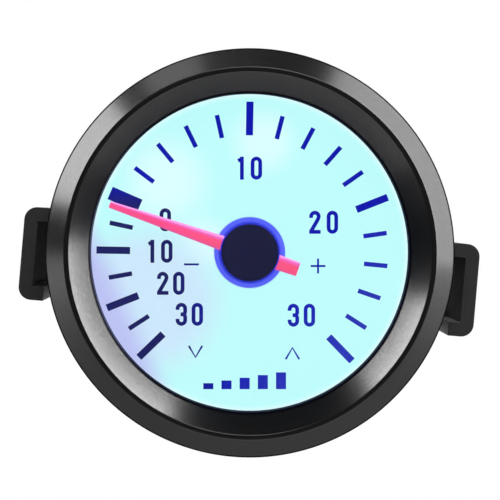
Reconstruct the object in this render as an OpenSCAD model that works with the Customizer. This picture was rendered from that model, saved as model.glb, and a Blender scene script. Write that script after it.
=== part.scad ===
// Round 52 mm boost and vacuum gauge for a car, with its mounting bracket.
// A curved pressure tube drives a toothed sector and pinion that turn the pointer.
// +Z is up and the dial faces -Y. The origin is on the gauge's axis, at the
// rear face of the bezel, where it seats against the panel.
// Each piece is drawn facing up, in a working frame whose Z points out of the
// dial and whose angles read as seen by the driver. in_car() stands it upright.

/* [Bezel and lens] */
// Width of the seat that the bezel has outside the barrel
seat_w = 4; // [3.6:0.1:5]
// Height of the bezel from its rear face to its crest
bezel_h = 9; // [8:0.1:11]
// Height of the straight rim
rim_h = 5; // [4:0.1:5.6]
// Width of the outer bevel
outer_bevel_w = 2.9; // [2.4:0.1:3.2]
// Width of the crest
crest_w = 0.7; // [0.4:0.1:1.2]
// Width of the inner bevel
inner_bevel_w = 2.9; // [2.7:0.1:3.4]
// Thickness of the lip that holds the lens
lip_t = 0.9; // [0.6:0.1:1.4]
// Wall of the bezel's rim
bezel_wall = 1; // [0.8:0.1:1.1]
// Thickness of the edge turned in behind the case flange
turned_edge_t = 0.8; // [0.6:0.1:1]
// Width of that turned edge
turned_edge_w = 3; // [2.6:0.1:3.2]
// Thickness of the lens
lens_t = 2; // [1.5:0.1:2.2]
// Thickness of the lens gasket
gasket_t = 0.6; // [0.4:0.1:1]
// Width of the lens gasket
gasket_w = 3; // [2:0.1:3.2]

/* [Case] */
// Outer diameter of the barrel
barrel_d = 52; // [51:0.1:52.6]
// Depth of the case behind the bezel's rear face
case_depth = 34; // [33.4:0.1:40]
// Wall of the barrel
case_wall = 1.6; // [1.2:0.1:1.7]
// Thickness of the case's back wall
case_back_t = 1.6; // [1.2:0.1:2]
// Thickness of the case flange
flange_t = 1.6; // [1.2:0.1:1.7]
// Chamfer on the rear edge of the case
case_chamfer = 1; // [0.6:0.1:1.2]
// Width of the ledge that carries the light cup
ledge_w = 1.5; // [1:0.1:1.8]
// Height of the ledge
ledge_h = 1.2; // [0.8:0.1:1.5]

/* [Dial and light cup] */
// Level of the dial's face, measured from the bezel's rear face
dial_z = -0.6; // [-0.8:0.1:-0.4]
// Thickness of the dial
dial_t = 0.6; // [0.4:0.1:0.8]
// Diameter of the opening in the middle of the dial
dial_hole_d = 10.7; // [10:0.1:12]
// Thickness of the raised print of the scale
ink_t = 0.05; // [0.03:0.01:0.1]
// Free width between the main marks' outer ends and the window
mark_rim_gap = 1.1; // [0.6:0.1:1.6]
// Length of a main mark
main_mark_len = 5; // [4.2:0.1:5.4]
// Width of a main mark
main_mark_w = 1.07; // [0.7:0.01:1.3]
// Length of a small mark
small_mark_len = 3.5; // [2.5:0.1:4]
// Width of a small mark
small_mark_w = 0.68; // [0.4:0.01:0.9]
// Length of the zero mark
zero_mark_len = 4.8; // [4:0.1:5.2]
// Width of the zero mark
zero_mark_w = 2; // [1.4:0.1:2.6]
// Depth of the light cup behind the dial
cup_depth = 6.8; // [6:0.1:7.2]
// Wall of the light cup
cup_wall = 1; // [0.8:0.1:1.3]
// Floor of the light cup
cup_floor_t = 0.8; // [0.6:0.1:1.2]

/* [Pointer] */
// Angle of the pointer as shown, counted from three o'clock
pointer_rest_angle = 160.94; // [160.94:0.01:160.95]
// How far the pointer's tip stays inside the zero mark's outer end
pointer_tip_gap = 0.3; // [0.1:0.1:2]
// Length of the pointer's tail
tail_len = 7.6; // [5:0.1:9]
// Width of the pointer at its tip
tip_w = 1; // [0.4:0.1:1.4]
// Width of the pointer at its shaft
root_w = 2.5; // [1.6:0.1:2.8]
// Width of the tail at its end
tail_w = 2.1; // [1.5:0.1:2.6]
// Thickness of the pointer
pointer_t = 0.3; // [0.2:0.05:0.35]
// Gap between the dial's face and the underside of the pointer
pointer_gap = 1.3; // [1:0.1:1.4]
// Diameter of the pointer's cap
cap_d = 8.8; // [8:0.1:9.6]
// Height of the pointer's cap
cap_h = 1.6; // [1.3:0.1:1.7]

/* [Movement] */
// Teeth on the pinion
pinion_teeth = 12; // [12:1:12]
// Teeth that the sector would have as a whole wheel
sector_teeth = 72; // [72:1:72]
// Thickness of the toothed sector
sector_t = 1; // [0.8:0.1:1.2]
// Length of the pinion's teeth
pinion_len = 5; // [4:0.1:5.4]
// Direction from the pointer's shaft to the sector's shaft
sector_dir = -20; // [-22:1:-18]
// Length of the sector's tail, from its shaft to the link's pin
sector_tail_len = 3.9; // [3.8:0.01:4]
// Length of the link between its two holes
link_len = 10.3; // [10:0.1:10.6]
// Thickness of the link
link_t = 0.6; // [0.4:0.1:0.8]
// Thickness of the movement's two plates
plate_t = 0.8; // [0.6:0.1:1]
// Clear height between the two plates
plate_gap = 8; // [7.8:0.1:8.4]
// Turns of the hairspring
hairspring_turns = 4; // [3:1:5]
// Thickness of the hairspring's strip
hairspring_strip_t = 0.25; // [0.15:0.01:0.3]
// Height of the hairspring's strip
hairspring_strip_h = 0.7; // [0.5:0.1:0.8]

/* [Pressure tube] */
// Room between the case's wall and the middle of the curved tube
tube_room_w = 5.2; // [4.8:0.1:5.4]
// Thickness of the flattened tube across its curve
tube_t = 1.6; // [1.2:0.1:1.8]
// Height of the flattened tube along the gauge's axis
tube_h = 5; // [4:0.1:5.6]
// Angle that the curved tube covers
tube_sweep = 250; // [248:1:252]
// Wall of the pressure tube
tube_wall = 0.3; // [0.2:0.05:0.35]

/* [Pressure port] */
// Diameter of the stem that leaves the case
stem_d = 8; // [7:0.1:8.6]
// Diameter of the hose nipple
nipple_d = 5; // [4:0.1:5.4]
// Diameter of the ridges that hold the hose
barb_d = 6; // [5.8:0.1:6.4]
// Number of ridges on the nipple
barbs = 3; // [2:1:3]
// Spacing of the ridges
barb_pitch = 3; // [2.6:0.1:3.2]
// Length of the stem behind the case, without the nipple
stem_len = 10; // [9:0.1:12]
// Length of the nipple
nipple_len = 12; // [11:0.1:14]
// Diameter of the pressure passage
passage_d = 2; // [1.4:0.1:2.4]

/* [Lamp] */
// Diameter of the lamp socket inside the case
lamp_socket_d = 9; // [8.4:0.1:9.4]
// Diameter of the socket's outer flange
lamp_flange_d = 11; // [10.4:0.1:11.2]
// Diameter of the bulb
bulb_d = 5; // [4:0.1:5.2]
// Length of the bulb in front of its socket
bulb_len = 15; // [12:0.1:15.6]

/* [Studs and bracket] */
// Distance of each stud from the case's inner wall
stud_inset_w = 7.4; // [7:0.1:8]
// Diameter of a stud
stud_d = 4; // [3.8:0.1:4.2]
// Length of a stud behind the case
stud_len = 22; // [20:0.1:24]
// How far the studs and the port sit below the gauge's axis
rear_drop = 3; // [2.4:0.1:3.2]
// Turn of the bracket about the gauge's axis, clockwise
bracket_roll = 4.9; // [4:0.1:5.5]
// How far each leg of the bracket stands out beside the bezel
leg_overhang_w = 4.4; // [4.2:0.1:6]
// Height of the bracket's channel section
channel_h = 14; // [13:0.1:14.6]
// Depth of the channel section
channel_d = 3.8; // [3.4:0.1:4]
// Wall of the bracket
bracket_wall = 2.1; // [1.8:0.1:2.2]
// Radius of the channel's outer edges
channel_edge_r = 1.9; // [1.2:0.1:2]
// Radius of the bracket's two bends, on the outside
bend_r = 9; // [8:0.1:10]
// Distance from the bezel's rear face to the ends of the legs
leg_gap = 6; // [5.6:0.1:7]
// Distance from the back of the case to the bracket's front edges
bracket_gap = 7; // [6.8:0.1:7.4]
// Angle of the first zero mark of the scale
scale_start_angle = 157.5; // [157.5:0.5:157.5]

/* [Hidden] */
$fn = 96;
// How far each cut runs past the faces that it opens
over = 0.5;
// Running clearance of a shaft in its hole, on the radius
run_gap = 0.05;
// Clearance of a piece that is dropped into its seat, on the radius
seat_gap = 0.1;

// Levels through the bezel, from its rear face to its crest
flange_back_z = turned_edge_t;
flange_front_z = flange_back_z + flange_t;
lens_back_z = flange_front_z + gasket_t;
lens_front_z = lens_back_z + lens_t;
lip_front_z = lens_front_z + lip_t;
rim_edge_r = 0.5;
crest_edge_share = 0.3;
bezel_d = barrel_d + 2 * seat_w;
crest_d = bezel_d - 2 * outer_bevel_w;
window_d = crest_d - 2 * crest_w - 2 * inner_bevel_w;
lens_d = bezel_d - 2 * bezel_wall - 2 * seat_gap;
mark_in_r = window_d / 2 - mark_rim_gap - main_mark_len;
pointer_len = mark_in_r + zero_mark_len - pointer_tip_gap;
flange_d = lens_d;
bore_d = barrel_d - 2 * case_wall;
dial_d = bore_d - 4 * seat_gap;

// Levels behind the dial
dial_back_z = dial_z - dial_t;
cup_back_z = dial_back_z - cup_depth;
cup_hole_margin = 1;
case_back_z = -case_depth;
case_floor_z = case_back_z + case_back_t;

// Pinion, sector and the clearances of their teeth
pressure_angle = 20;
backlash = 0.07;
tip_share = 0.8;
root_share = 1.25;
sector_first_tooth = -8;
sector_last_tooth = 3;
tooth_steps = 4;
tube_r = bore_d / 2 - tube_room_w;
tail_clearance = 0.6;
eye_d = 2.6;
sector_dist = tube_r - tube_t / 2 - eye_d / 2 - sector_tail_len - tail_clearance;
tooth_module = 2 * sector_dist / (pinion_teeth + sector_teeth);
pinion_pitch_r = pinion_teeth * tooth_module / 2;
sector_pitch_r = sector_teeth * tooth_module / 2;
sector_x = sector_dist * cos(sector_dir);
sector_y = sector_dist * sin(sector_dir);

// Direction of the sector's tail at rest, and the point where the link ends
tail_dir = -11.8;
tail_x = sector_x + sector_tail_len * cos(tail_dir);
tail_y = sector_y + sector_tail_len * sin(tail_dir);
tip_x = tail_x;
tip_y = tail_y + link_len;

// Levels of the movement, from its base plate to its top plate
shaft_room_h = 3.4;
block_w = 9;
lamp_dir = 120.4;
bulb_clearance = 1.06;
lamp_block_gap = 1.3;
lamp_dist = tube_r - tube_t / 2 - bulb_d / 2 - bulb_clearance;
lamp_x = lamp_dist * cos(lamp_dir);
lamp_y = lamp_dist * sin(lamp_dir);
block_rise_h = lamp_y - lamp_socket_d / 2 - lamp_block_gap;
sector_lift = 3;
layer_gap = 0.15;
hairspring_lift = 2.6;
top_front_z = cup_back_z - shaft_room_h;
top_back_z = top_front_z - plate_t;
base_front_z = top_back_z - plate_gap;
block_front_z = base_front_z - plate_t;
block_t = block_front_z - case_floor_z;
sector_z = base_front_z + sector_lift;
tail_link_z = sector_z + sector_t + layer_gap;
hairspring_z = sector_z + sector_t + hairspring_lift;
pinion_z = sector_z + sector_t / 2 - pinion_len / 2;
plate_arm_w = 4.4;
plate_boss_d = 5.8;
arbor_d = 2;
pivot_d = 1;
shaft_d = 1.5;
pillar_d = 2.6;
screw_d = 1.4;
screw_head_d = 2.4;
screw_head_h = 0.7;
slot_w = 0.4;
slot_depth = 0.35;
// Places of the pillars: their directions from the pointer's shaft, and their distances
pillar_dirs = [210, -54, 62];
pillar_dist_shares = [0.643, 1.222, 0.849];
pillar_spots = [for (i = [0 : 2])
    sector_dist * pillar_dist_shares[i] * [cos(pillar_dirs[i]), sin(pillar_dirs[i])]];
base_screw_shares = [-0.99, 0.365];
base_screw_spots = [for (share = base_screw_shares) [0, share * sector_dist]];

// Pressure tube and the boss that holds its fixed end
tube_lift = 3.4;
tube_z = block_front_z + tube_lift;
tube_start_angle = -90;
tube_end_angle = tube_start_angle - tube_sweep;
boss_depth = 4.2;
boss_overlap = 3;
boss_cap = 1.4;
tip_wall = 0.8;
tip_block_len = 3;
pin_d = 1;
open_eye_gap = 0.3;
pin_head_d = 1.8;
pin_head_h = 0.4;

// Levels of the link, of the ear that carries it and of its two pins
link_low_z = tail_link_z;
link_high_z = tail_link_z + link_t;
ear_low_z = link_high_z + layer_gap;
ear_high_z = ear_low_z + plate_t;

// Hairspring and what holds its two ends
collet_d = 3;
hairspring_in_r = collet_d / 2 + hairspring_strip_t;
pillar_spring_gap = 1.05;
hairspring_pitch = (sector_dist * pillar_dist_shares[0] - pillar_d / 2 - hairspring_in_r
    - pillar_spring_gap) / hairspring_turns;
hairspring_end_dir = 35;
hairspring_stud_d = 1.2;

// Pointer and cap
pointer_z = dial_z + pointer_gap;
bush_d = 2.8;
bush_flange_d = 4.8;
bush_drop = 0.9;
pointer_disc_d = 6;
cap_edge_r = 0.5;

// Rear fittings
stud_clearance = 0.05;
stud_spacing = bore_d - 2 * stud_inset_w;
bracket_w = bezel_d + 2 * leg_overhang_w;
bracket_clearance = 0.4;
block_screw_low_h = 8;
stem_screw_gap = 0.7;
block_screw_d = 3;
block_screw_head_d = 5.4;
block_screw_head_h = 1.9;
base_screw_depth = 3 * plate_t;
block_screw_depth_share = 0.489;
block_screw_len = case_back_t + (block_t - base_screw_depth) * block_screw_depth_share;
block_screw_rise_h = stem_d / 2 + block_screw_head_d / 2 + stem_screw_gap;
block_screw_spots = [[0, -block_screw_low_h], [0, block_screw_rise_h]];
stud_head_d = 7;
stud_head_h = 2;
nut_af = 7;
nut_t = 3.2;
lock_nut_t = 2;
washer_d = 9;
washer_t = 0.8;
lock_washer_d = 7.6;
lock_washer_t = 1;
lock_washer_gap_w = 1;
stud_tip_chamfer = 0.6;

// Lamp
lamp_body_front_len = 4.4;
lamp_flange_t = 1.6;
lamp_tail_len = 5;
lamp_tail_d = 7.4;
lamp_clearance = 0.15;
bulb_base_len = 4;
bulb_seat = 3;
contact_w = 3;
contact_t = 0.8;
contact_len = 5;
contact_gap = 3.4;

// The bracket's levels
bracket_front_z = case_back_z - bracket_gap;
bracket_back_z = bracket_front_z - channel_d;
leg_end_z = -leg_gap;
stem_hole_margin = 1;
stem_hole_d = stem_d + 2 * stem_hole_margin;

function polar(r, a) = [r * cos(a), r * sin(a)];

// The involute function, in degrees
function inv(a) = tan(a) * 180 / PI - a;

// Half the angle that a tooth covers at radius r, on a wheel of pitch radius pr
function half_tooth(pr, r) =
    let (br = pr * cos(pressure_angle),
         at_pitch = (tooth_module * PI / 2 - backlash) / (2 * pr) * 180 / PI)
    at_pitch + inv(pressure_angle) - inv(acos(min(1, br / max(r, br))));

// The radii that a flank passes through, from its root to its tip
function flank_radii(pr) =
    let (root = pr - root_share * tooth_module,
         low = max(pr * cos(pressure_angle), root),
         tip = pr + tip_share * tooth_module)
    concat([root], [for (i = [0 : tooth_steps]) low + (tip - low) * i / tooth_steps]);

// Points of one tooth whose middle lies at angle a
function tooth_points(pr, a) =
    let (radii = flank_radii(pr), n = len(radii))
    concat([for (i = [0 : n - 1]) polar(radii[i], a - half_tooth(pr, radii[i]))],
           [for (i = [n - 1 : -1 : 0]) polar(radii[i], a + half_tooth(pr, radii[i]))]);

// Stands a piece upright, from the working frame to the frame of the car
module in_car() { rotate([90, 0, 0]) children(); }

// The turned and lowered frame of the studs, the port and the bracket
module rear_frame() {
    translate([0, -rear_drop, 0]) rotate([0, 0, -bracket_roll]) children();
}

module disc(d, z_low, z_high) { translate([0, 0, z_low]) cylinder(d = d, h = z_high - z_low); }

module ring(d, hole, z_low, z_high) {
    difference() {
        disc(d, z_low, z_high);
        disc(hole, z_low - over, z_high + over);
    }
}

// A flat bar between two points, which round bosses cover at its ends
module bar(a, b, w) {
    run = b - a;
    translate(a) rotate([0, 0, atan2(run[1], run[0])])
        translate([0, -w / 2]) square([norm(run), w]);
}

module block_range(x_low, x_high, y_low, y_high, z_low, z_high) {
    translate([x_low, y_low, z_low]) cube([x_high - x_low, y_high - y_low, z_high - z_low]);
}

module hexagon(across_flats, z_low, z_high) {
    translate([0, 0, z_low]) rotate([0, 0, 30])
        cylinder(d = across_flats / cos(30), h = z_high - z_low, $fn = 6);
}

// Turned ring with a straight rim and two bevels that meet in a narrow crest
module bezel() {
    rim_r = bezel_d / 2;
    crest_r = crest_d / 2;
    window_r = window_d / 2;
    inside_r = rim_r - bezel_wall;
    crest_in_r = crest_r - crest_w;
    edge = crest_edge_share * crest_w;
    color([0.07, 0.07, 0.07]) in_car() rotate_extrude()
        polygon([
            [inside_r - turned_edge_w + bezel_wall, 0],
            [rim_r - rim_edge_r, 0], [rim_r, rim_edge_r],
            [rim_r, rim_h], [rim_r - rim_edge_r / 2, rim_h + rim_edge_r / 2],
            [crest_r, bezel_h - edge], [crest_r - edge, bezel_h],
            [crest_in_r + edge, bezel_h], [crest_in_r, bezel_h - edge],
            [window_r, lip_front_z], [window_r, lens_front_z],
            [inside_r, lens_front_z], [inside_r, turned_edge_t],
            [inside_r - turned_edge_w + bezel_wall, turned_edge_t]]);
}

// Flat glass window, held between the bezel's lip and its gasket
module lens() {
    color([0.85, 0.93, 1, 0.3]) in_car() disc(lens_d, lens_back_z, lens_front_z);
}

module lens_gasket() {
    color([0.1, 0.1, 0.1]) in_car()
        ring(lens_d, lens_d - 2 * gasket_w, flange_front_z, lens_back_z);
}

// Thin sleeve that holds the dial down and lines the space under the lens
module spacer_ring() {
    color([0.1, 0.1, 0.25]) in_car()
        ring(bore_d - 2 * seat_gap, window_d, dial_z, lens_back_z);
}

// Moulded cup with a flange, an inner ledge and the openings of its back wall
module case_cup() {
    r = barrel_d / 2;
    color([0.09, 0.09, 0.09]) in_car() difference() {
        union() {
            rotate_extrude() polygon([
                [0, case_back_z], [r - case_chamfer, case_back_z],
                [r, case_back_z + case_chamfer], [r, flange_back_z],
                [flange_d / 2, flange_back_z], [flange_d / 2, flange_front_z],
                [bore_d / 2, flange_front_z], [bore_d / 2, cup_back_z],
                [bore_d / 2 - ledge_w, cup_back_z], [bore_d / 2 - ledge_w, cup_back_z - ledge_h],
                [bore_d / 2, cup_back_z - ledge_h - ledge_w], [bore_d / 2, case_floor_z],
                [0, case_floor_z]]);
        }
        rear_frame() {
            disc(stem_d + 2 * seat_gap, case_back_z - over, case_floor_z + over);
            for (side = [-1, 1]) translate([side * stud_spacing / 2, 0, 0])
                disc(stud_d + 2 * stud_clearance, case_back_z - over, case_floor_z + over);
            for (spot = block_screw_spots) translate(spot)
                disc(block_screw_d + 2 * seat_gap, case_back_z - over, case_floor_z + over);
        }
        translate([lamp_x, lamp_y, 0])
            disc(lamp_socket_d + 2 * lamp_clearance, case_back_z - over, case_floor_z + over);
    }
}

// Translucent dial with its middle opening
module dial_plate() {
    color([0.75, 0.97, 1]) in_car() ring(dial_d, dial_hole_d, dial_back_z, dial_z);
}

// One printed mark of the scale, pointing outwards at angle a
module scale_mark(a, in_r, length, w) {
    rotate([0, 0, a]) translate([in_r, -w / 2, dial_z]) cube([length, w, ink_t]);
}

// Printed marks: vacuum in steps of 5 inHg below zero, boost in steps of 2 psi above
module dial_scale() {
    vacuum_step = 11.25;
    boost_step = 13.5;
    color([0.1, 0.07, 0.6]) in_car() {
        scale_mark(scale_start_angle, mark_in_r, zero_mark_len, zero_mark_w);
        for (i = [1 : 6]) {
            main = i % 2 == 0;
            scale_mark(scale_start_angle + i * vacuum_step, mark_in_r,
                main ? main_mark_len : small_mark_len, main ? main_mark_w : small_mark_w);
        }
        for (i = [1 : 15]) {
            main = i % 5 == 0;
            scale_mark(scale_start_angle - i * boost_step, mark_in_r,
                main ? main_mark_len : small_mark_len, main ? main_mark_w : small_mark_w);
        }
    }
}

// Clear ring in the dial's opening that glows round the pointer's cap
module hub_light_ring() {
    color([0.3, 0.35, 1]) in_car()
        ring(dial_hole_d - 2 * seat_gap, shaft_d + 2 * cup_hole_margin, dial_back_z, dial_z);
}

// White cup that spreads the lamp's light behind the dial
module light_cup() {
    d = bore_d - 2 * seat_gap;
    color([0.95, 0.95, 0.95]) in_car() difference() {
        disc(d, cup_back_z, dial_back_z);
        disc(d - 2 * cup_wall, cup_back_z + cup_floor_t, dial_back_z + over);
        disc(shaft_d + 2 * cup_hole_margin, cup_back_z - over, dial_back_z);
        translate([lamp_x, lamp_y, 0]) disc(bulb_d + 2 * cup_hole_margin, cup_back_z - over, dial_back_z);
    }
}

// Push-in lamp socket through the back wall, with its outer flange
module lamp_socket() {
    front_z = case_floor_z + lamp_body_front_len;
    color([0.15, 0.15, 0.16]) in_car() translate([lamp_x, lamp_y, 0]) difference() {
        union() {
            disc(lamp_socket_d, case_back_z, front_z);
            disc(lamp_flange_d, case_back_z - lamp_flange_t, case_back_z);
            disc(lamp_tail_d, case_back_z - lamp_tail_len, case_back_z - lamp_flange_t);
        }
        disc(bulb_d, front_z - bulb_seat, front_z + over);
        for (side = [-1, 1])
            translate([side * contact_gap / 2 - contact_t / 2, -contact_w / 2,
                       case_back_z - lamp_tail_len - over])
                cube([contact_t, contact_w, contact_len / 2 + over]);
    }
}

// Small glass bulb with a round end
module lamp_bulb() {
    base_z = case_floor_z + lamp_body_front_len - bulb_seat;
    tip_z = base_z + bulb_seat + bulb_len;
    color([0.9, 0.93, 1, 0.6]) in_car() translate([lamp_x, lamp_y, 0]) {
        disc(bulb_d, base_z, tip_z - bulb_d / 2);
        translate([0, 0, tip_z - bulb_d / 2]) sphere(d = bulb_d, $fn = 48);
    }
}

// Two flat terminals that leave the back of the socket
module lamp_contacts() {
    low_z = case_back_z - lamp_tail_len - contact_len / 2;
    color([0.8, 0.62, 0.25]) in_car() translate([lamp_x, lamp_y, 0])
        for (side = [-1, 1])
            translate([side * contact_gap / 2 - contact_t / 2, -contact_w / 2, low_z])
                cube([contact_t, contact_w, contact_len]);
}

// Flattened section of the pressure tube
module tube_section(t, h) {
    square([t, h - t], center = true);
    for (side = [-1, 1]) translate([0, side * (h - t) / 2]) circle(d = t);
}

// Outer form of the curved tube, or its hollow, from its free end to its fixed end
module tube_form(t, h) {
    rotate([0, 0, tube_end_angle]) rotate_extrude(angle = tube_sweep)
        translate([tube_r, tube_z]) tube_section(t, h);
}

// Curved tube that straightens a little as the pressure rises
module bourdon_tube() {
    color([0.78, 0.62, 0.32]) in_car() difference() {
        tube_form(tube_t, tube_h);
        tube_form(tube_t - 2 * tube_wall, tube_h - 2 * tube_wall);
    }
}

// Brass block that takes in the pressure, carries the tube and bears the movement
module socket_block() {
    boss_out_y = tube_r + boss_depth / 2;
    boss_top_z = tube_z + tube_h / 2 + boss_cap;
    passage_z = block_front_z - block_t / 2;
    nipple_z = case_back_z - stem_len;
    color([0.8, 0.65, 0.3]) in_car() difference() {
        union() {
            block_range(-block_w / 2, block_w / 2, -boss_out_y, block_rise_h,
                        case_floor_z, block_front_z);
            block_range(-block_w / 2, block_w / 2, -boss_out_y, -boss_out_y + boss_depth,
                        block_front_z, boss_top_z);
            translate([0, -rear_drop, 0]) {
                disc(stem_d, nipple_z, case_floor_z);
                disc(nipple_d, nipple_z - nipple_len, nipple_z);
                for (i = [1 : barbs])
                    translate([0, 0, nipple_z - nipple_len + (i - 1) * barb_pitch])
                        cylinder(d1 = nipple_d, d2 = barb_d, h = barb_pitch * 2 / 3);
            }
        }
        tube_form(tube_t, tube_h);
        translate([0, -rear_drop, 0])
            disc(passage_d, nipple_z - nipple_len - over, passage_z);
        translate([0, -rear_drop, passage_z]) rotate([90, 0, 0])
            cylinder(d = passage_d, h = tube_r - rear_drop);
        translate([0, -tube_r, 0]) disc(tube_t - 2 * tube_wall, passage_z, tube_z);
        disc(collet_d, block_front_z - plate_t, block_front_z + over);
        rear_frame() for (spot = block_screw_spots) translate(spot)
            disc(block_screw_d, case_floor_z - over, case_back_z + block_screw_len);
        for (spot = base_screw_spots) translate(spot)
            disc(screw_d, block_front_z - base_screw_depth, block_front_z + over);
    }
}

// Two screws that hold the block to the back wall of the case
module block_screws() {
    color([0.7, 0.7, 0.72]) in_car() rear_frame() for (spot = block_screw_spots)
        translate(spot) difference() {
            union() {
                disc(block_screw_d, case_back_z, case_back_z + block_screw_len);
                disc(block_screw_head_d, case_back_z - block_screw_head_h, case_back_z);
            }
            block_range(-block_screw_head_d, block_screw_head_d, -slot_w, slot_w,
                        case_back_z - block_screw_head_h - over,
                        case_back_z - block_screw_head_h / 2);
        }
}

// Solid end of the tube, with an ear that reaches in to the link
module tube_tip() {
    half_t = tube_t / 2 + tube_wall;
    low_z = tube_z - tube_h / 2 - tube_wall;
    tip_angle = tip_block_len / tube_r * 180 / PI;
    ear_root = polar(tube_r, tube_end_angle - tip_angle / 2);
    color([0.8, 0.65, 0.3]) in_car() difference() {
        union() {
            rotate([0, 0, tube_end_angle - tip_angle]) rotate_extrude(angle = tip_angle)
                translate([tube_r - half_t, low_z]) square([2 * half_t, ear_high_z - low_z]);
            translate([0, 0, ear_low_z]) linear_extrude(ear_high_z - ear_low_z) {
                bar(ear_root, [tip_x, tip_y], 2 * half_t);
                translate([tip_x, tip_y]) circle(d = eye_d);
            }
        }
        translate([tip_x, tip_y, 0]) disc(pin_d, ear_low_z - over, ear_high_z + over);
    }
}

// Pin in the tube's end piece, on which the link turns
module tip_pin() {
    color([0.75, 0.75, 0.77]) in_car() translate([tip_x, tip_y, 0]) {
        disc(pin_d, link_low_z - layer_gap, ear_high_z);
        disc(pin_head_d, link_low_z - layer_gap - pin_head_h, link_low_z - layer_gap);
    }
}

// Flat link that pulls the sector's tail
module link() {
    color([0.75, 0.6, 0.3]) in_car() translate([0, 0, link_low_z])
        linear_extrude(link_t) difference() {
            union() {
                bar([tail_x, tail_y], [tip_x, tip_y], eye_d * 2 / 3);
                translate([tail_x, tail_y]) circle(d = eye_d);
                translate([tip_x, tip_y]) circle(d = eye_d);
            }
            translate([tail_x, tail_y]) circle(d = pin_d + 2 * open_eye_gap);
            translate([tip_x, tip_y]) circle(d = pin_d + 2 * run_gap);
        }
}

// Pin in the sector's tail, inside the link's lower eye
module sector_pin() {
    color([0.75, 0.75, 0.77]) in_car() translate([tail_x, tail_y, 0]) {
        disc(pin_d, sector_z, link_high_z + layer_gap);
        disc(pin_head_d, link_high_z + layer_gap, link_high_z + layer_gap + pin_head_h);
    }
}

// Toothed sector: rim, two spokes, hub and the tail that the link pulls
module sector_gear() {
    facing = sector_dir + 180;
    step = 360 / sector_teeth;
    rim_out = sector_pitch_r - root_share * tooth_module;
    rim_w = 4 * tooth_module;
    low = facing + (sector_first_tooth - 1 / 2) * step;
    high = facing + (sector_last_tooth + 1 / 2) * step;
    spoke_end = rim_out - rim_w / 2;
    color([0.82, 0.68, 0.34]) in_car() translate([0, 0, sector_z])
        linear_extrude(sector_t) difference() {
            union() {
                translate([sector_x, sector_y]) {
                    for (k = [sector_first_tooth : sector_last_tooth])
                        polygon(tooth_points(sector_pitch_r, facing + k * step));
                    intersection() {
                        difference() {
                            circle(r = rim_out + tooth_module / 10);
                            circle(r = rim_out - rim_w);
                        }
                        polygon([[0, 0], polar(2 * rim_out, low), polar(2 * rim_out, (low + high) / 2),
                                 polar(2 * rim_out, high)]);
                    }
                    bar([0, 0], polar(spoke_end, low + step), rim_w);
                    bar([0, 0], polar(spoke_end, high - step), rim_w);
                    circle(d = 2 * arbor_d);
                    bar([0, 0], polar(sector_tail_len, tail_dir), eye_d * 2 / 3);
                    translate(polar(sector_tail_len, tail_dir)) circle(d = eye_d);
                }
            }
            translate([sector_x, sector_y]) circle(d = arbor_d);
            translate([tail_x, tail_y]) circle(d = pin_d);
        }
}

// Steel shaft of the sector, with a thin pivot at each end
module sector_arbor() {
    color([0.72, 0.72, 0.74]) in_car() translate([sector_x, sector_y, 0]) {
        disc(pivot_d, block_front_z - layer_gap, top_front_z + layer_gap);
        disc(arbor_d, base_front_z + layer_gap, top_back_z - layer_gap);
    }
}

// Pointer's shaft, cut in one piece with the pinion
module pinion_arbor() {
    step = 360 / pinion_teeth;
    color([0.72, 0.72, 0.74]) in_car() {
        disc(pivot_d, block_front_z - plate_t / 2, base_front_z + layer_gap);
        disc(arbor_d, base_front_z + layer_gap, top_back_z - layer_gap);
        disc(shaft_d, top_back_z - layer_gap, pointer_z + pointer_t + bush_drop);
        translate([0, 0, pinion_z]) linear_extrude(pinion_len) {
            circle(r = pinion_pitch_r - root_share * tooth_module + tooth_module / 10);
            for (k = [0 : pinion_teeth - 1])
                polygon(tooth_points(pinion_pitch_r, sector_dir + (k + 1 / 2) * step));
        }
    }
}

// Brass collar that holds the inner end of the hairspring
module hairspring_collet() {
    color([0.82, 0.68, 0.34]) in_car()
        ring(collet_d, arbor_d, hairspring_z - layer_gap,
             hairspring_z + hairspring_strip_h + layer_gap);
}

// Flat spiral of thin strip that takes up the play of the teeth
module hairspring() {
    steps = hairspring_turns * 32;
    angles = [for (i = [0 : steps]) hairspring_end_dir + (i / steps - 1) * 360 * hairspring_turns];
    radii = [for (i = [0 : steps]) hairspring_in_r + hairspring_pitch * hairspring_turns * i / steps];
    half = hairspring_strip_t / 2;
    color([0.55, 0.6, 0.7]) in_car() translate([0, 0, hairspring_z])
        linear_extrude(hairspring_strip_h)
            polygon(concat([for (i = [0 : steps]) polar(radii[i] - half, angles[i])],
                           [for (i = [steps : -1 : 0]) polar(radii[i] + half, angles[i])]));
}

// Short post under the top plate that holds the outer end of the hairspring
module hairspring_stud() {
    r = hairspring_in_r + hairspring_pitch * hairspring_turns + hairspring_strip_t / 2
        + hairspring_stud_d / 2 + stud_clearance;
    color([0.82, 0.68, 0.34]) in_car() translate(polar(r, hairspring_end_dir))
        disc(hairspring_stud_d, hairspring_z, top_back_z);
}

// Outline shared by the movement's plates: arms to the pillars and to the sector's shaft
module plate_arms() {
    sector_spot = [sector_x, sector_y];
    for (spot = pillar_spots) {
        bar([0, 0], spot, plate_arm_w);
        translate(spot) circle(d = plate_boss_d);
    }
    bar([0, 0], sector_spot, plate_arm_w);
    bar(pillar_spots[1], sector_spot, plate_arm_w);
    translate(sector_spot) circle(d = plate_boss_d);
    circle(d = 2 * plate_boss_d);
}

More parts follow.
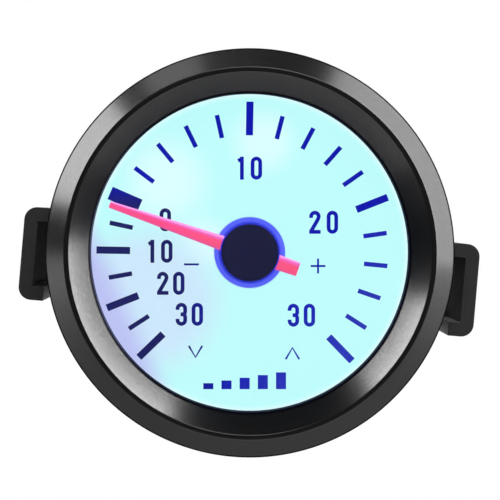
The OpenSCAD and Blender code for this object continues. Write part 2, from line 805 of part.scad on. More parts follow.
// Rear plate of the movement, screwed to the block
module base_plate() {
    color([0.82, 0.68, 0.34]) in_car() translate([0, 0, block_front_z])
        linear_extrude(plate_t) difference() {
            union() {
                plate_arms();
                for (spot = base_screw_spots) {
                    bar([0, 0], spot, plate_arm_w);
                    translate(spot) circle(d = plate_boss_d);
                }
            }
            circle(d = pivot_d + 2 * run_gap);
            translate([sector_x, sector_y]) circle(d = pivot_d + 2 * run_gap);
            for (spot = pillar_spots) translate(spot) circle(d = screw_d);
            for (spot = base_screw_spots) translate(spot) circle(d = screw_d);
        }
}

// Front plate of the movement
module top_plate() {
    color([0.82, 0.68, 0.34]) in_car() translate([0, 0, top_back_z])
        linear_extrude(plate_t) difference() {
            plate_arms();
            circle(d = shaft_d + 2 * run_gap);
            translate([sector_x, sector_y]) circle(d = pivot_d + 2 * run_gap);
            for (spot = pillar_spots) translate(spot) circle(d = screw_d);
        }
}

// Three pillars between the plates, riveted into the rear one
module pillars() {
    color([0.8, 0.66, 0.34]) in_car() for (spot = pillar_spots)
        translate(spot) difference() {
            union() {
                disc(screw_d, block_front_z, base_front_z);
                disc(pillar_d, base_front_z, top_back_z);
            }
            disc(screw_d, top_back_z - plate_gap / 3, top_back_z + over);
        }
}

// A slotted screw: its head stands on z, its shank of length reaches below
module slotted_screw(z, length) {
    difference() {
        union() {
            disc(screw_d, z - length, z);
            disc(screw_head_d, z, z + screw_head_h);
        }
        block_range(-screw_head_d, screw_head_d, -slot_w / 2, slot_w / 2,
                    z + screw_head_h - slot_depth, z + screw_head_h + over);
    }
}

// Three screws that hold the front plate to the pillars
module plate_screws() {
    color([0.7, 0.7, 0.72]) in_car() for (spot = pillar_spots)
        translate(spot) slotted_screw(top_front_z, plate_t + plate_gap / 4);
}

// Two screws that hold the rear plate to the block
module base_screws() {
    color([0.7, 0.7, 0.72]) in_car() for (spot = base_screw_spots)
        translate(spot) slotted_screw(base_front_z, base_screw_depth);
}

// Brass bush that is pressed on the shaft and carries the pointer
module pointer_bush() {
    color([0.82, 0.68, 0.34]) in_car() difference() {
        union() {
            disc(bush_flange_d, pointer_z - bush_drop, pointer_z);
            disc(bush_d, pointer_z, pointer_z + pointer_t + bush_drop);
        }
        disc(shaft_d, pointer_z - bush_drop - over, pointer_z + pointer_t + bush_drop + over);
    }
}

// Thin pointer: a slowly tapering blade, a hub disc and a straight square tail
module pointer() {
    color([0.95, 0.33, 0.6]) in_car() rotate([0, 0, pointer_rest_angle])
        translate([0, 0, pointer_z]) linear_extrude(pointer_t) difference() {
            union() {
                polygon([[-tail_len, -tail_w / 2], [0, -root_w / 2], [pointer_len, -tip_w / 2],
                         [pointer_len, tip_w / 2], [0, root_w / 2], [-tail_len, tail_w / 2]]);
                circle(d = pointer_disc_d);
            }
            circle(d = bush_d);
        }
}

// Dark cap that covers the pointer's bush
module pointer_cap() {
    low = pointer_z + pointer_t;
    high = low + cap_h;
    color([0.1, 0.1, 0.22]) in_car() difference() {
        rotate_extrude() polygon([[0, low], [cap_d / 2, low], [cap_d / 2, high - cap_edge_r],
            [cap_d / 2 - cap_edge_r * (1 - cos(45)), high - cap_edge_r * (1 - sin(45))],
            [cap_d / 2 - cap_edge_r, high], [0, high]]);
        disc(bush_d, low - over, low + bush_drop);
    }
}

// Two threaded studs with their heads inside the case
module case_studs() {
    end_z = case_back_z - stud_len;
    color([0.78, 0.78, 0.8]) in_car() rear_frame() for (side = [-1, 1])
        translate([side * stud_spacing / 2, 0, 0]) {
            disc(stud_head_d, case_floor_z, case_floor_z + stud_head_h);
            disc(stud_d, end_z + stud_tip_chamfer, case_floor_z);
            translate([0, 0, end_z])
                cylinder(d1 = stud_d - 2 * stud_tip_chamfer, d2 = stud_d, h = stud_tip_chamfer);
        }
}

module at_studs() {
    rear_frame() for (side = [-1, 1]) translate([side * stud_spacing / 2, 0, 0]) children();
}

module hex_nut(z_low, z_high) {
    difference() {
        hexagon(nut_af, z_low, z_high);
        disc(stud_d + 2 * stud_clearance, z_low - over, z_high + over);
    }
}

// Thin nuts that clamp the studs to the back wall
module stud_lock_nuts() {
    color([0.75, 0.75, 0.77]) in_car() at_studs() hex_nut(case_back_z - lock_nut_t, case_back_z);
}

module flat_washers() {
    color([0.75, 0.75, 0.77]) in_car() at_studs()
        ring(washer_d, stud_d + bracket_clearance, bracket_back_z - washer_t, bracket_back_z);
}

// Split spring washers, drawn flat as they are under the tightened nuts
module lock_washers() {
    high = bracket_back_z - washer_t;
    color([0.6, 0.6, 0.62]) in_car() at_studs() difference() {
        ring(lock_washer_d, stud_d + bracket_clearance, high - lock_washer_t, high);
        block_range(0, lock_washer_d, -lock_washer_gap_w / 2, lock_washer_gap_w / 2,
                    high - lock_washer_t - over, high + over);
    }
}

module bracket_nuts() {
    high = bracket_back_z - washer_t - lock_washer_t;
    color([0.75, 0.75, 0.77]) in_car() at_studs() hex_nut(high - nut_t, high);
}

// Channel section of the bracket; its back lies on x = 0 and it opens towards -x
module channel_section() {
    half = channel_h / 2;
    difference() {
        union() {
            translate([-channel_d, -half]) square([channel_d - channel_edge_r, channel_h]);
            translate([-channel_d, -half + channel_edge_r])
                square([channel_d, channel_h - 2 * channel_edge_r]);
            for (side = [-1, 1])
                translate([-channel_edge_r, side * (half - channel_edge_r)])
                    circle(r = channel_edge_r, $fn = 48);
        }
        translate([-channel_d - over, -half + bracket_wall])
            square([channel_d + over - bracket_wall, channel_h - 2 * bracket_wall]);
    }
}

// Moulded bracket: a channel bent into a U, with holes for the studs and the stem
module bracket() {
    leg_x = bracket_w / 2;
    bend_x = leg_x - bend_r;
    bend_z = bracket_back_z + bend_r;
    color([0.08, 0.08, 0.08]) in_car() rear_frame() difference() {
        union() {
            for (side = [0, 1]) mirror([side, 0, 0]) {
                translate([leg_x, 0, bend_z]) linear_extrude(leg_end_z - bend_z)
                    channel_section();
                translate([bend_x, 0, bend_z]) rotate([90, 0, 0]) rotate([0, 0, -90])
                    rotate_extrude(angle = 90) translate([bend_r, 0]) channel_section();
            }
            translate([-bend_x, 0, bracket_back_z]) rotate([0, 90, 0])
                linear_extrude(2 * bend_x) channel_section();
        }
        disc(stem_hole_d, bracket_back_z - over, bracket_front_z + over);
        for (side = [-1, 1]) translate([side * stud_spacing / 2, 0, 0])
            disc(stud_d + 2 * bracket_clearance, bracket_back_z - over, bracket_front_z + over);
    }
}

case_cup();
bezel();
lens();
lens_gasket();
spacer_ring();
dial_plate();
dial_scale();
hub_light_ring();
light_cup();
lamp_socket();
lamp_bulb();
lamp_contacts();
socket_block();
block_screws();
bourdon_tube();
tube_tip();
tip_pin();
link();
sector_gear();
sector_arbor();
sector_pin();
pinion_arbor();
hairspring_collet();
hairspring();
hairspring_stud();
base_plate();
top_plate();
pillars();
plate_screws();
base_screws();
pointer_bush();
pointer();
pointer_cap();
case_studs();
stud_lock_nuts();
bracket();
flat_washers();
lock_washers();
bracket_nuts();
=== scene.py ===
# Round boost and vacuum gauge, dressed piece by piece in the order in which it goes together.
# Every section draws in millimetres, with Z towards the viewer, and then turns its mesh into
# place in metres, with the gauge facing -Y.
import math

import bmesh
import bpy
from mathutils import Matrix, Vector


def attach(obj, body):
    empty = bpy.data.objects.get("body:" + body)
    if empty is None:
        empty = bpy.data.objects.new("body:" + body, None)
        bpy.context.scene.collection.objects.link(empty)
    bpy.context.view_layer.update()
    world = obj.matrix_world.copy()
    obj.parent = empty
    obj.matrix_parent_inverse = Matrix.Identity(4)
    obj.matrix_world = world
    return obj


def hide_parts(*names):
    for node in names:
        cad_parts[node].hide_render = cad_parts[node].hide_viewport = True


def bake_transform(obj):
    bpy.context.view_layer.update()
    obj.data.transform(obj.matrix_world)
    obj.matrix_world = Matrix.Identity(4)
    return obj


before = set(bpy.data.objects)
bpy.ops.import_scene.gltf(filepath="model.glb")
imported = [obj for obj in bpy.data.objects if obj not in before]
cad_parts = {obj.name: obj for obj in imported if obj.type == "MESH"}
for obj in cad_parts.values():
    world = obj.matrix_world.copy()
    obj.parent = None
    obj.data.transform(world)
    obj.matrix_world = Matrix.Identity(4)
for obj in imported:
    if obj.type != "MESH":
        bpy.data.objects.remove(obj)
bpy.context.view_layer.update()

# Case cup. The real one is a deep cup moulded in black nylon, with a flange at its mouth.
# Its outside keeps the fine spark-eroded grain of the mould, and its edges are a little
# round. The other moulded black pieces share that finish.
MM = 0.001
CASE_EDGE = 0.25
MERGE = 0.000002


def node_material(name):
    """An empty node material: the material, its tree and its Principled shader."""
    material = bpy.data.materials.new(name)
    material.use_nodes = True
    tree = material.node_tree
    return material, tree, tree.nodes["Principled BSDF"]


def noise(tree, scale, detail=3.0, roughness=0.5):
    """A noise in object space; scale counts features per metre."""
    place = tree.nodes.new("ShaderNodeTexCoord")
    texture = tree.nodes.new("ShaderNodeTexNoise")
    texture.inputs["Scale"].default_value = scale
    texture.inputs["Detail"].default_value = detail
    texture.inputs["Roughness"].default_value = roughness
    tree.links.new(place.outputs["Object"], texture.inputs["Vector"])
    return texture.outputs["Fac"]


def spread(tree, factor, low, high, start=0.0, end=1.0):
    """Maps a factor between start and end onto a range of numbers."""
    remap = tree.nodes.new("ShaderNodeMapRange")
    remap.interpolation_type = "SMOOTHSTEP"
    remap.inputs["From Min"].default_value = start
    remap.inputs["From Max"].default_value = end
    remap.inputs["To Min"].default_value = low
    remap.inputs["To Max"].default_value = high
    tree.links.new(factor, remap.inputs["Value"])
    return remap.outputs["Result"]


def two_colours(tree, factor, first, second):
    """A colour that runs from the first to the second; either may be another output."""
    mix = tree.nodes.new("ShaderNodeMix")
    mix.data_type = "RGBA"
    for socket, colour in ((mix.inputs[6], first), (mix.inputs[7], second)):
        if isinstance(colour, tuple):
            socket.default_value = (*colour, 1)
        else:
            tree.links.new(colour, socket)
    tree.links.new(factor, mix.inputs[0])
    return mix.outputs[2]


def bumped(tree, shader, height, strength, distance):
    """Raises the surface by a height factor, up to a distance in metres."""
    bump = tree.nodes.new("ShaderNodeBump")
    bump.inputs["Strength"].default_value = strength
    bump.inputs["Distance"].default_value = distance
    tree.links.new(height, bump.inputs["Height"])
    tree.links.new(bump.outputs["Normal"], shader.inputs["Normal"])


def moulded_black(name, first, second, grain_scale, grain_depth):
    """Black moulded plastic: faint cloudy tone, uneven gloss and a fine even grain."""
    material, tree, shader = node_material(name)
    cloud = noise(tree, 160, 4.0)
    grain = noise(tree, grain_scale, 2.0, 0.6)
    tree.links.new(two_colours(tree, cloud, first, second), shader.inputs["Base Color"])
    tree.links.new(spread(tree, grain, 0.38, 0.58), shader.inputs["Roughness"])
    bumped(tree, shader, grain, 0.6, grain_depth)
    return material


def dress(node, material):
    """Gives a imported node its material."""
    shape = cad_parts[node]
    shape.data.materials.clear()
    shape.data.materials.append(material)


def linked(name, data):
    """A new object in the scene."""
    piece = bpy.data.objects.new(name, data)
    bpy.context.scene.collection.objects.link(piece)
    return piece


def applied(piece, *stages):
    """Turns a piece with modifiers into a plain mesh and takes the modifiers off."""
    graph = bpy.context.evaluated_depsgraph_get()
    mesh = bpy.data.meshes.new_from_object(piece.evaluated_get(graph))
    for stage in stages:
        piece.modifiers.remove(stage)
    piece.data = mesh


def smoothed(mesh, angle):
    """The mesh with smooth rounds and flat faces, sharp at edges above an angle in degrees."""
    for face in mesh.polygons:
        face.use_smooth = True
    mesh.set_sharp_from_angle(angle=math.radians(angle))
    maker = linked(mesh.name + "_shading", mesh)
    flats = maker.modifiers.new("flats", "WEIGHTED_NORMAL")
    flats.keep_sharp = True
    applied(maker, flats)
    mesh = maker.data
    bpy.data.objects.remove(maker)
    return mesh


def settled(name, mesh, material, body, stands_for=()):
    """Puts a finished mesh into the scene as a piece on its body."""
    piece = linked(name, mesh)
    mesh.materials.clear()
    mesh.materials.append(material)
    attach(piece, body)
    if stands_for:
        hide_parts(*stands_for)
    return piece


def softened(name, node, edge, material, body, angle=40):
    """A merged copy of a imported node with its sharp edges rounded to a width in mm."""
    mesh = bpy.data.meshes.new(name)
    form = bmesh.new()
    form.from_mesh(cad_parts[node].data)
    bmesh.ops.remove_doubles(form, verts=form.verts, dist=MERGE)
    bmesh.ops.dissolve_limit(form, angle_limit=math.radians(0.5), verts=form.verts,
                             edges=form.edges)
    form.to_mesh(mesh)
    form.free()
    maker = linked(name + "_maker", mesh)
    bevel = maker.modifiers.new("edge", "BEVEL")
    bevel.width = edge * MM
    bevel.segments = 3
    bevel.limit_method = "ANGLE"
    bevel.angle_limit = math.radians(angle)
    bevel.use_clamp_overlap = True
    applied(maker, bevel)
    mesh = maker.data
    bpy.data.objects.remove(maker)
    return settled(name, smoothed(mesh, angle), material, body, (node,))


case_plastic = moulded_black("case_nylon", (0.010, 0.010, 0.011), (0.020, 0.020, 0.021), 3200,
                             0.00004)
softened("case_shell", "case_cup", CASE_EDGE, case_plastic, "case")

# Pressure port and block. The real block is sawn from brass bar and its barbed nipple is
# turned, so both have fine tool marks, a warm tone and duller patches.
PORT_EDGE = 0.12


def brushed_metal(name, first, second, rough, stretch):
    """Bare metal with fine marks drawn out across the stretched directions."""
    material, tree, shader = node_material(name)
    place = tree.nodes.new("ShaderNodeTexCoord")
    turn = tree.nodes.new("ShaderNodeMapping")
    turn.inputs["Scale"].default_value = stretch
    marks = tree.nodes.new("ShaderNodeTexNoise")
    marks.inputs["Scale"].default_value = 900
    marks.inputs["Detail"].default_value = 4
    tree.links.new(place.outputs["Object"], turn.inputs["Vector"])
    tree.links.new(turn.outputs["Vector"], marks.inputs["Vector"])
    stain = noise(tree, 220, 5.0)
    tree.links.new(two_colours(tree, stain, first, second), shader.inputs["Base Color"])
    tree.links.new(spread(tree, marks.outputs["Fac"], rough - 0.08, rough + 0.12),
                   shader.inputs["Roughness"])
    shader.inputs["Metallic"].default_value = 1.0
    bumped(tree, shader, marks.outputs["Fac"], 0.35, 0.00002)
    return material


brass = brushed_metal("machined_brass", (0.72, 0.50, 0.20), (0.56, 0.37, 0.13), 0.30, (1, 6, 1))
softened("port_block", "socket_block", PORT_EDGE, brass, "case")
zinc = brushed_metal("zinc_plate", (0.66, 0.67, 0.68), (0.52, 0.53, 0.56), 0.30, (2, 2, 2))
softened("port_screws", "block_screws", PORT_EDGE, zinc, "case")

# Movement: the curved pressure tube, its tip and link, the toothed sector on its arbor and
# the pinion, between two stamped plates on turned pillars. All brass, apart from the pins,
# arbors and screws of ground steel, and the blued hairspring.
for node in ("tube_tip", "link", "sector_gear", "hairspring_collet",
             "hairspring_stud", "base_plate", "top_plate", "pillars"):
    dress(node, brass)
ground_steel = brushed_metal("ground_steel", (0.55, 0.56, 0.58), (0.42, 0.43, 0.45), 0.28,
                             (6, 1, 6))
for node in ("tip_pin", "sector_pin", "sector_arbor", "pinion_arbor", "plate_screws",
             "base_screws"):
    dress(node, ground_steel)
dress("hairspring", brushed_metal("blued_spring", (0.10, 0.14, 0.30), (0.16, 0.16, 0.26), 0.25,
                                  (1, 1, 1)))

# The pressure tube is drawn and flattened brass. Its last quarter flexes, so it is cut in two
# there: the first part stays with the case and the last is kept as a piece of its own.
TUBE_CUT_X = 2.0


def cut_tube(name, beyond):
    """The tube on one side of the cut, closed there; beyond picks the side of its tip."""
    mesh = bpy.data.meshes.new(name)
    form = bmesh.new()
    form.from_mesh(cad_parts["bourdon_tube"].data)
    bmesh.ops.remove_doubles(form, verts=form.verts, dist=MERGE)
    cut = bmesh.ops.bisect_plane(
        form, geom=form.verts[:] + form.edges[:] + form.faces[:],
        plane_co=(TUBE_CUT_X * MM, 0, 0), plane_no=(1, 0, 0), clear_inner=beyond,
        clear_outer=not beyond)
    rim = [item for item in cut["geom_cut"] if isinstance(item, bmesh.types.BMEdge)]
    bmesh.ops.triangle_fill(form, use_beauty=True, edges=rim)
    bmesh.ops.recalc_face_normals(form, faces=form.faces)
    form.to_mesh(mesh)
    form.free()
    return smoothed(mesh, 35)


settled("pressure_tube_fixed", cut_tube("pressure_tube_fixed", False), brass, "case",
        ("bourdon_tube",))
flexing = linked("pressure_tube_flexing", cut_tube("pressure_tube_flexing", True))
flexing.data.materials.append(brass)
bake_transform(flexing)
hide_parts("bourdon_tube")

# Lamp: a black moulded socket pushed into the back wall, with a clear wedge bulb inside
# and two flat brass terminals outside.
socket_plastic = moulded_black("socket_plastic", (0.015, 0.015, 0.016), (0.03, 0.03, 0.03), 4000,
                               0.00003)
SOCKET_EDGE = 0.2
softened("lamp_holder", "lamp_socket", SOCKET_EDGE, socket_plastic, "case")
dress("lamp_contacts", brass)


def clear_glass(name, tint, rough, ior):
    """Glass that lets light through and shows thin reflections."""
    material, tree, shader = node_material(name)
    shader.inputs["Base Color"].default_value = (*tint, 1)
    shader.inputs["Transmission Weight"].default_value = 1.0
    shader.inputs["IOR"].default_value = ior
    tree.links.new(spread(tree, noise(tree, 300, 2.0), rough, rough + 0.02),
                   shader.inputs["Roughness"])
    return material


dress("lamp_bulb", clear_glass("bulb_glass", (0.92, 0.95, 1.0), 0.02, 1.45))

# Light cup: a white cup behind the dial that spreads the lamp's light. It is moulded in
# plastic with a fine grain and stands in the case, in front of the movement.
cup_white, tree, shader = node_material("light_cup_white")
tree.links.new(two_colours(tree, noise(tree, 200), (0.80, 0.80, 0.80), (0.88, 0.88, 0.88)),
               shader.inputs["Base Color"])
shader.inputs["Roughness"].default_value = 0.6
bumped(tree, shader, noise(tree, 2500), 0.3, 0.00003)
dress("light_cup", cup_white)

# Dial: a disc cut from thin translucent plastic, laid on the light cup. The lamp behind it
# makes it glow pale cyan, whiter in its upper half and beside the hub, pale blue and then
# lavender towards the lower left, with a white line where light leaks round its edge.
DIAL_CYAN = (0.50, 0.97, 0.965)
DIAL_WHITE = (0.70, 0.99, 1.0)
DIAL_WASH = (0.60, 0.79, 0.96)
DIAL_LAVENDER = (0.50, 0.54, 0.89)
WHITE_PATCHES = ((-12.5, 10.5, 2.0, 9.0), (2.0, 16.5, 1.5, 6.5), (-7.0, 1.5, 1.0, 5.5))
WASH_PLACE = (-15.0, -7.0, 6.0, 13.5)
LAVENDER_SLANT = 0.45
LAVENDER_TO_WASH = (-24.5, -19.5)
LEAK_R = 22.6
DIAL_EDGE_R = 23.6


def in_metres(span):
    """Both ends of a span that is given in millimetres."""
    return span[0] * MM, span[1] * MM


def nearness(tree, x, z, near, far):
    """A factor that falls from 1 near a place on the dial to 0 far from it, in mm."""
    place = tree.nodes.new("ShaderNodeTexCoord")
    reach = tree.nodes.new("ShaderNodeVectorMath")
    reach.operation = "DISTANCE"
    reach.inputs[1].default_value = (x * MM, 0, z * MM)
    tree.links.new(place.outputs["Object"], reach.inputs[0])
    return spread(tree, reach.outputs["Value"], 1.0, 0.0, near * MM, far * MM)


def sums(tree, operation, *values):
    """A maths node over numbers or outputs."""
    node = tree.nodes.new("ShaderNodeMath")
    node.operation = operation
    for socket, value in zip(node.inputs, values):
        if isinstance(value, (int, float)):
            socket.default_value = value
        else:
            tree.links.new(value, socket)
    return node.outputs[0]


def object_axes(tree):
    """Object coordinates in metres, as three outputs named X, Y and Z."""
    place = tree.nodes.new("ShaderNodeTexCoord")
    axes = tree.nodes.new("ShaderNodeSeparateXYZ")
    tree.links.new(place.outputs["Object"], axes.inputs["Vector"])
    return axes.outputs


dial_sheet, tree, shader = node_material("dial_lit_cyan")
tone = two_colours(tree, spread(tree, noise(tree, 60), 0.0, 0.15), DIAL_CYAN, DIAL_WHITE)
for patch in WHITE_PATCHES:
    tone = two_colours(tree, nearness(tree, *patch), tone, DIAL_WHITE)
tone = two_colours(tree, nearness(tree, 0, 0, LEAK_R, DIAL_EDGE_R), DIAL_WHITE, tone)
tone = two_colours(tree, nearness(tree, *WASH_PLACE), tone, DIAL_WASH)
axes = object_axes(tree)
slant = sums(tree, "MULTIPLY_ADD", axes["Z"], LAVENDER_SLANT, axes["X"])
tone = two_colours(tree, spread(tree, slant, 1.0, 0.0, *in_metres(LAVENDER_TO_WASH)), tone,
                   DIAL_LAVENDER)
tree.links.new(tone, shader.inputs["Emission Color"])
shader.inputs["Emission Strength"].default_value = 1.0
shader.inputs["Base Color"].default_value = (0.02, 0.025, 0.025, 1)
shader.inputs["Roughness"].default_value = 0.6
shader.inputs["Specular IOR Level"].default_value = 0.2
bumped(tree, shader, noise(tree, 4000, 2.0), 0.2, 0.00001)
dress("dial_plate", dial_sheet)

# Printed scale: screen ink in deep blue, a little raised, with marks, plain numbers and
# generic signs. The marks follow one rule: every so many of them is a long, broad one.
DIAL_FACE = -0.6
INK_T = 0.05
LINE_T = 0.04
MARK_IN = 17.4
ZERO_DIR = 156.5
VACUUM_STEP = 11.25
BOOST_STEP = 13.5
PRINT_SHIFT_X = -0.34
DIGIT_RAISE = 0.27
DIGIT_W = 1.70
DIGIT_H = 3.42
DIGIT_STROKE = 0.57
SIGN_STROKE = 0.3
LAYER = 0.001
NAVY_TO_DEEP_X = (-12.5, -2.0)
NAVY_TO_DEEP_Z = (6.0, 11.0)
DEEP_TO_VIOLET = (10.0, 30.0)
IN_CAR = Matrix.Rotation(math.radians(90), 4, "X") @ Matrix.Scale(MM, 4)


def new_tree(name, sizes):
    """A geometry tree with named inputs; sizes are (name, socket kind, value)."""
    tree = bpy.data.node_groups.new(name, "GeometryNodeTree")
    tree.interface.new_socket(name="Geometry", in_out="INPUT",
                              socket_type="NodeSocketGeometry")
    for label, kind, value in sizes:
        socket = tree.interface.new_socket(name=label, in_out="INPUT",
                                           socket_type="NodeSocket" + kind)
        socket.default_value = value
    tree.interface.new_socket(name="Material", in_out="INPUT", socket_type="NodeSocketMaterial")
    tree.interface.new_socket(name="Geometry", in_out="OUTPUT",
                              socket_type="NodeSocketGeometry")
    return tree, tree.nodes.new("NodeGroupInput")


def ended(tree, start, geometry):
    """Ends a tree in Realize Instances and Set Material."""
    real = tree.nodes.new("GeometryNodeRealizeInstances")
    paint = tree.nodes.new("GeometryNodeSetMaterial")
    out = tree.nodes.new("NodeGroupOutput")
    tree.links.new(geometry, real.inputs["Geometry"])
    tree.links.new(real.outputs["Geometry"], paint.inputs["Geometry"])
    tree.links.new(start.outputs["Material"], paint.inputs["Material"])
    tree.links.new(paint.outputs["Geometry"], out.inputs["Geometry"])


def point(tree, x, y, z):
    """A vector from three numbers or outputs."""
    node = tree.nodes.new("ShaderNodeCombineXYZ")
    for socket, value in zip(node.inputs, (x, y, z)):
        if isinstance(value, (int, float)):
            socket.default_value = value
        else:
            tree.links.new(value, socket)
    return node.outputs[0]


def level(tree, curve):
    """A curve whose normals lie level, so what is swept along it keeps its turn."""
    node = tree.nodes.new("GeometryNodeSetCurveNormal")
    node.mode = "Z_UP"
    tree.links.new(curve, node.inputs["Curve"])
    return node.outputs["Curve"]


def grown(tree, base, material, **values):
    """Runs a tree on a base mesh in millimetres and returns the plain mesh it makes."""
    maker = linked(tree.name, base)
    stage = maker.modifiers.new(tree.name, "NODES")
    stage.node_group = tree
    for item in tree.interface.items_tree:
        if item.in_out != "INPUT":
            continue
        if item.name == "Material":
            stage[item.identifier] = material
        elif item.name.replace(" ", "_").lower() in values:
            stage[item.identifier] = values[item.name.replace(" ", "_").lower()]
    applied(maker, stage)
    mesh = maker.data
    bpy.data.objects.remove(maker)
    return mesh


def joined(name, meshes, place=IN_CAR):
    """One mesh from several, moved from the drawing's millimetres into place."""
    form = bmesh.new()
    for mesh in meshes:
        form.from_mesh(mesh)
    whole = bpy.data.meshes.new(name)
    form.transform(place)
    form.to_mesh(whole)
    form.free()
    return whole


INK_DEEP = (0.004, 0.008, 0.45)
INK_NAVY = (0.013, 0.015, 0.105)
INK_VIOLET = (0.030, 0.044, 0.52)
ink, tree, shader = node_material("scale_ink_blue")
# The ink's own colour is deep blue; the lamp's light through it is painted as a glow, navy at
# the lower left, deep blue above and violet at the lower right.
axes = object_axes(tree)
deep_share = sums(tree, "MAXIMUM", spread(tree, axes["X"], 0, 1, *in_metres(NAVY_TO_DEEP_X)),
                  spread(tree, axes["Z"], 0, 1, *in_metres(NAVY_TO_DEEP_Z)))
left_tone = two_colours(tree, deep_share, INK_NAVY, INK_DEEP)
fallen = sums(tree, "SUBTRACT", axes["X"], axes["Z"])
ink_glow_tone = two_colours(tree, spread(tree, fallen, 0, 1, *in_metres(DEEP_TO_VIOLET)), left_tone,
                       INK_VIOLET)
mottled = two_colours(tree, spread(tree, noise(tree, 900), 0, 0.3), ink_glow_tone, INK_NAVY)
tree.links.new(mottled, shader.inputs["Emission Color"])
shader.inputs["Emission Strength"].default_value = 1.0
shader.inputs["Base Color"].default_value = (0.002, 0.003, 0.03, 1)
shader.inputs["Roughness"].default_value = 0.6
shader.inputs["Specular IOR Level"].default_value = 0.1

marks, start = new_tree("scale_marks", (
    ("Count", "Int", 15), ("First Angle", "Float", 0.0), ("Step", "Float", 0.1),
    ("Long Every", "Int", 5), ("Inner Radius", "Float", MARK_IN), ("Face", "Float", DIAL_FACE),
    ("Thickness", "Float", INK_T), ("Long Length", "Float", 5.0), ("Long Width", "Float", 1.0),
    ("Short Length", "Float", 3.5), ("Short Width", "Float", 0.7)))
give = start.outputs
row = marks.nodes.new("GeometryNodeMeshLine")
marks.links.new(give["Count"], row.inputs["Count"])
row.inputs["Offset"].default_value = (0, 0, 0)
index = marks.nodes.new("GeometryNodeInputIndex").outputs[0]
turn = point(marks, 0, 0, sums(marks, "MULTIPLY_ADD", index, give["Step"], give["First Angle"]))
is_short = sums(marks, "MODULO", sums(marks, "ADD", index, 1.0), give["Long Every"])
both = marks.nodes.new("GeometryNodeJoinGeometry")
for length, width, chosen in (
        (give["Long Length"], give["Long Width"], sums(marks, "LESS_THAN", is_short, 0.5)),
        (give["Short Length"], give["Short Width"], sums(marks, "GREATER_THAN", is_short, 0.5))):
    bar = marks.nodes.new("GeometryNodeMeshCube")
    marks.links.new(point(marks, length, width, give["Thickness"]), bar.inputs["Size"])
    shift = marks.nodes.new("GeometryNodeTransform")
    marks.links.new(bar.outputs["Mesh"], shift.inputs["Geometry"])
    middle = sums(marks, "MULTIPLY_ADD", length, 0.5, give["Inner Radius"])
    lifted = sums(marks, "MULTIPLY_ADD", give["Thickness"], 0.5, give["Face"])
    marks.links.new(point(marks, middle, 0, lifted), shift.inputs["Translation"])
    placed = marks.nodes.new("GeometryNodeInstanceOnPoints")
    marks.links.new(row.outputs["Mesh"], placed.inputs["Points"])
    marks.links.new(chosen, placed.inputs["Selection"])
    marks.links.new(shift.outputs["Geometry"], placed.inputs["Instance"])
    marks.links.new(turn, placed.inputs["Rotation"])
    marks.links.new(placed.outputs["Instances"], both.inputs["Geometry"])
ended(marks, start, both.outputs["Geometry"])

line, start = new_tree("printed_line", (
    ("Width", "Float", DIGIT_STROKE), ("Thickness", "Float", LINE_T)))
route = line.nodes.new("GeometryNodeMeshToCurve")
line.links.new(start.outputs["Geometry"], route.inputs["Mesh"])
section = line.nodes.new("GeometryNodeCurvePrimitiveQuadrilateral")
line.links.new(start.outputs["Width"], section.inputs["Width"])
line.links.new(start.outputs["Thickness"], section.inputs["Height"])
ribbon = line.nodes.new("GeometryNodeCurveToMesh")
ribbon.inputs["Fill Caps"].default_value = True
line.links.new(level(line, route.outputs["Curve"]), ribbon.inputs["Curve"])
line.links.new(section.outputs["Curve"], ribbon.inputs["Profile Curve"])
ended(line, start, ribbon.outputs["Mesh"])


def bend(x, y, radius, first, last, steps=12):
    """Points of an arc, from one angle to another in degrees."""
    return [(x + radius * math.cos(math.radians(first + (last - first) * i / steps)),
             y + radius * math.sin(math.radians(first + (last - first) * i / steps)))
            for i in range(steps + 1)]


def printed(route, x, y, width, closed=False, lift=0):
    """One printed line along a route of points, moved to x, y."""
    height = DIAL_FACE + LINE_T / 2 + lift * LAYER
    spots = [(x + px, y + py, height) for px, py in route]
    pairs = [(i, i + 1) for i in range(len(spots) - 1)]
    if closed:
        pairs.append((len(spots) - 1, 0))
    base = bpy.data.meshes.new("route")
    base.from_pydata(spots, pairs, [])
    return grown(line, base, ink, width=width, thickness=LINE_T)


bowl = DIGIT_W / 2 - DIGIT_STROKE / 2
high = DIGIT_H / 2 - DIGIT_STROKE / 2
shoulder = high - bowl
waist = 0.42
DIGITS = {
    "0": [(bend(0, shoulder, bowl, 0, 180) + bend(0, -shoulder, bowl, 180, 360), True)],
    "1": [([(0.16, DIGIT_H / 2), (0.16, -DIGIT_H / 2)], False),
          ([(0.30, high - 0.02), (-0.42, high - 0.34)], False)],
    "2": [([(-bowl, shoulder - 0.22)] + bend(0, shoulder, bowl, 180, -18)
           + [(bowl * 0.72, shoulder * 0.42), (-bowl * 0.98, -high + 0.12)], False),
          ([(-DIGIT_W / 2, -high), (DIGIT_W / 2, -high)], False)],
    "3": [([(-bowl, shoulder - 0.2)] + bend(0, shoulder, bowl, 180, 0)
           + bend(bowl - waist, waist, waist, 0, -90) + [(-0.12, 0)], False),
          ([(-bowl, -shoulder + 0.2)] + bend(0, -shoulder, bowl, -180, 0)
           + bend(bowl - waist, -waist, waist, 0, 90), False)]}
NUMBERS = (("1", -0.97, 12.26), ("0", 1.34, 12.26), ("2", 10.03, 4.23), ("0", 12.63, 4.23),
           ("3", 6.84, -9.58), ("0", 9.22, -9.58), ("0", -12.18, 4.6), ("1", -14.26, -0.08),
           ("0", -11.96, -0.08), ("2", -12.56, -4.83), ("0", -10.18, -4.83),
           ("3", -9.8, -9.44), ("0", -7.43, -9.44))
zero_mark = dict(count=1, first_angle=math.radians(ZERO_DIR), step=0.0, long_every=1,
                 long_length=4.8, long_width=2.0)
mark_sizes = dict(long_length=5.0, long_width=1.07, short_length=3.5, short_width=0.68)
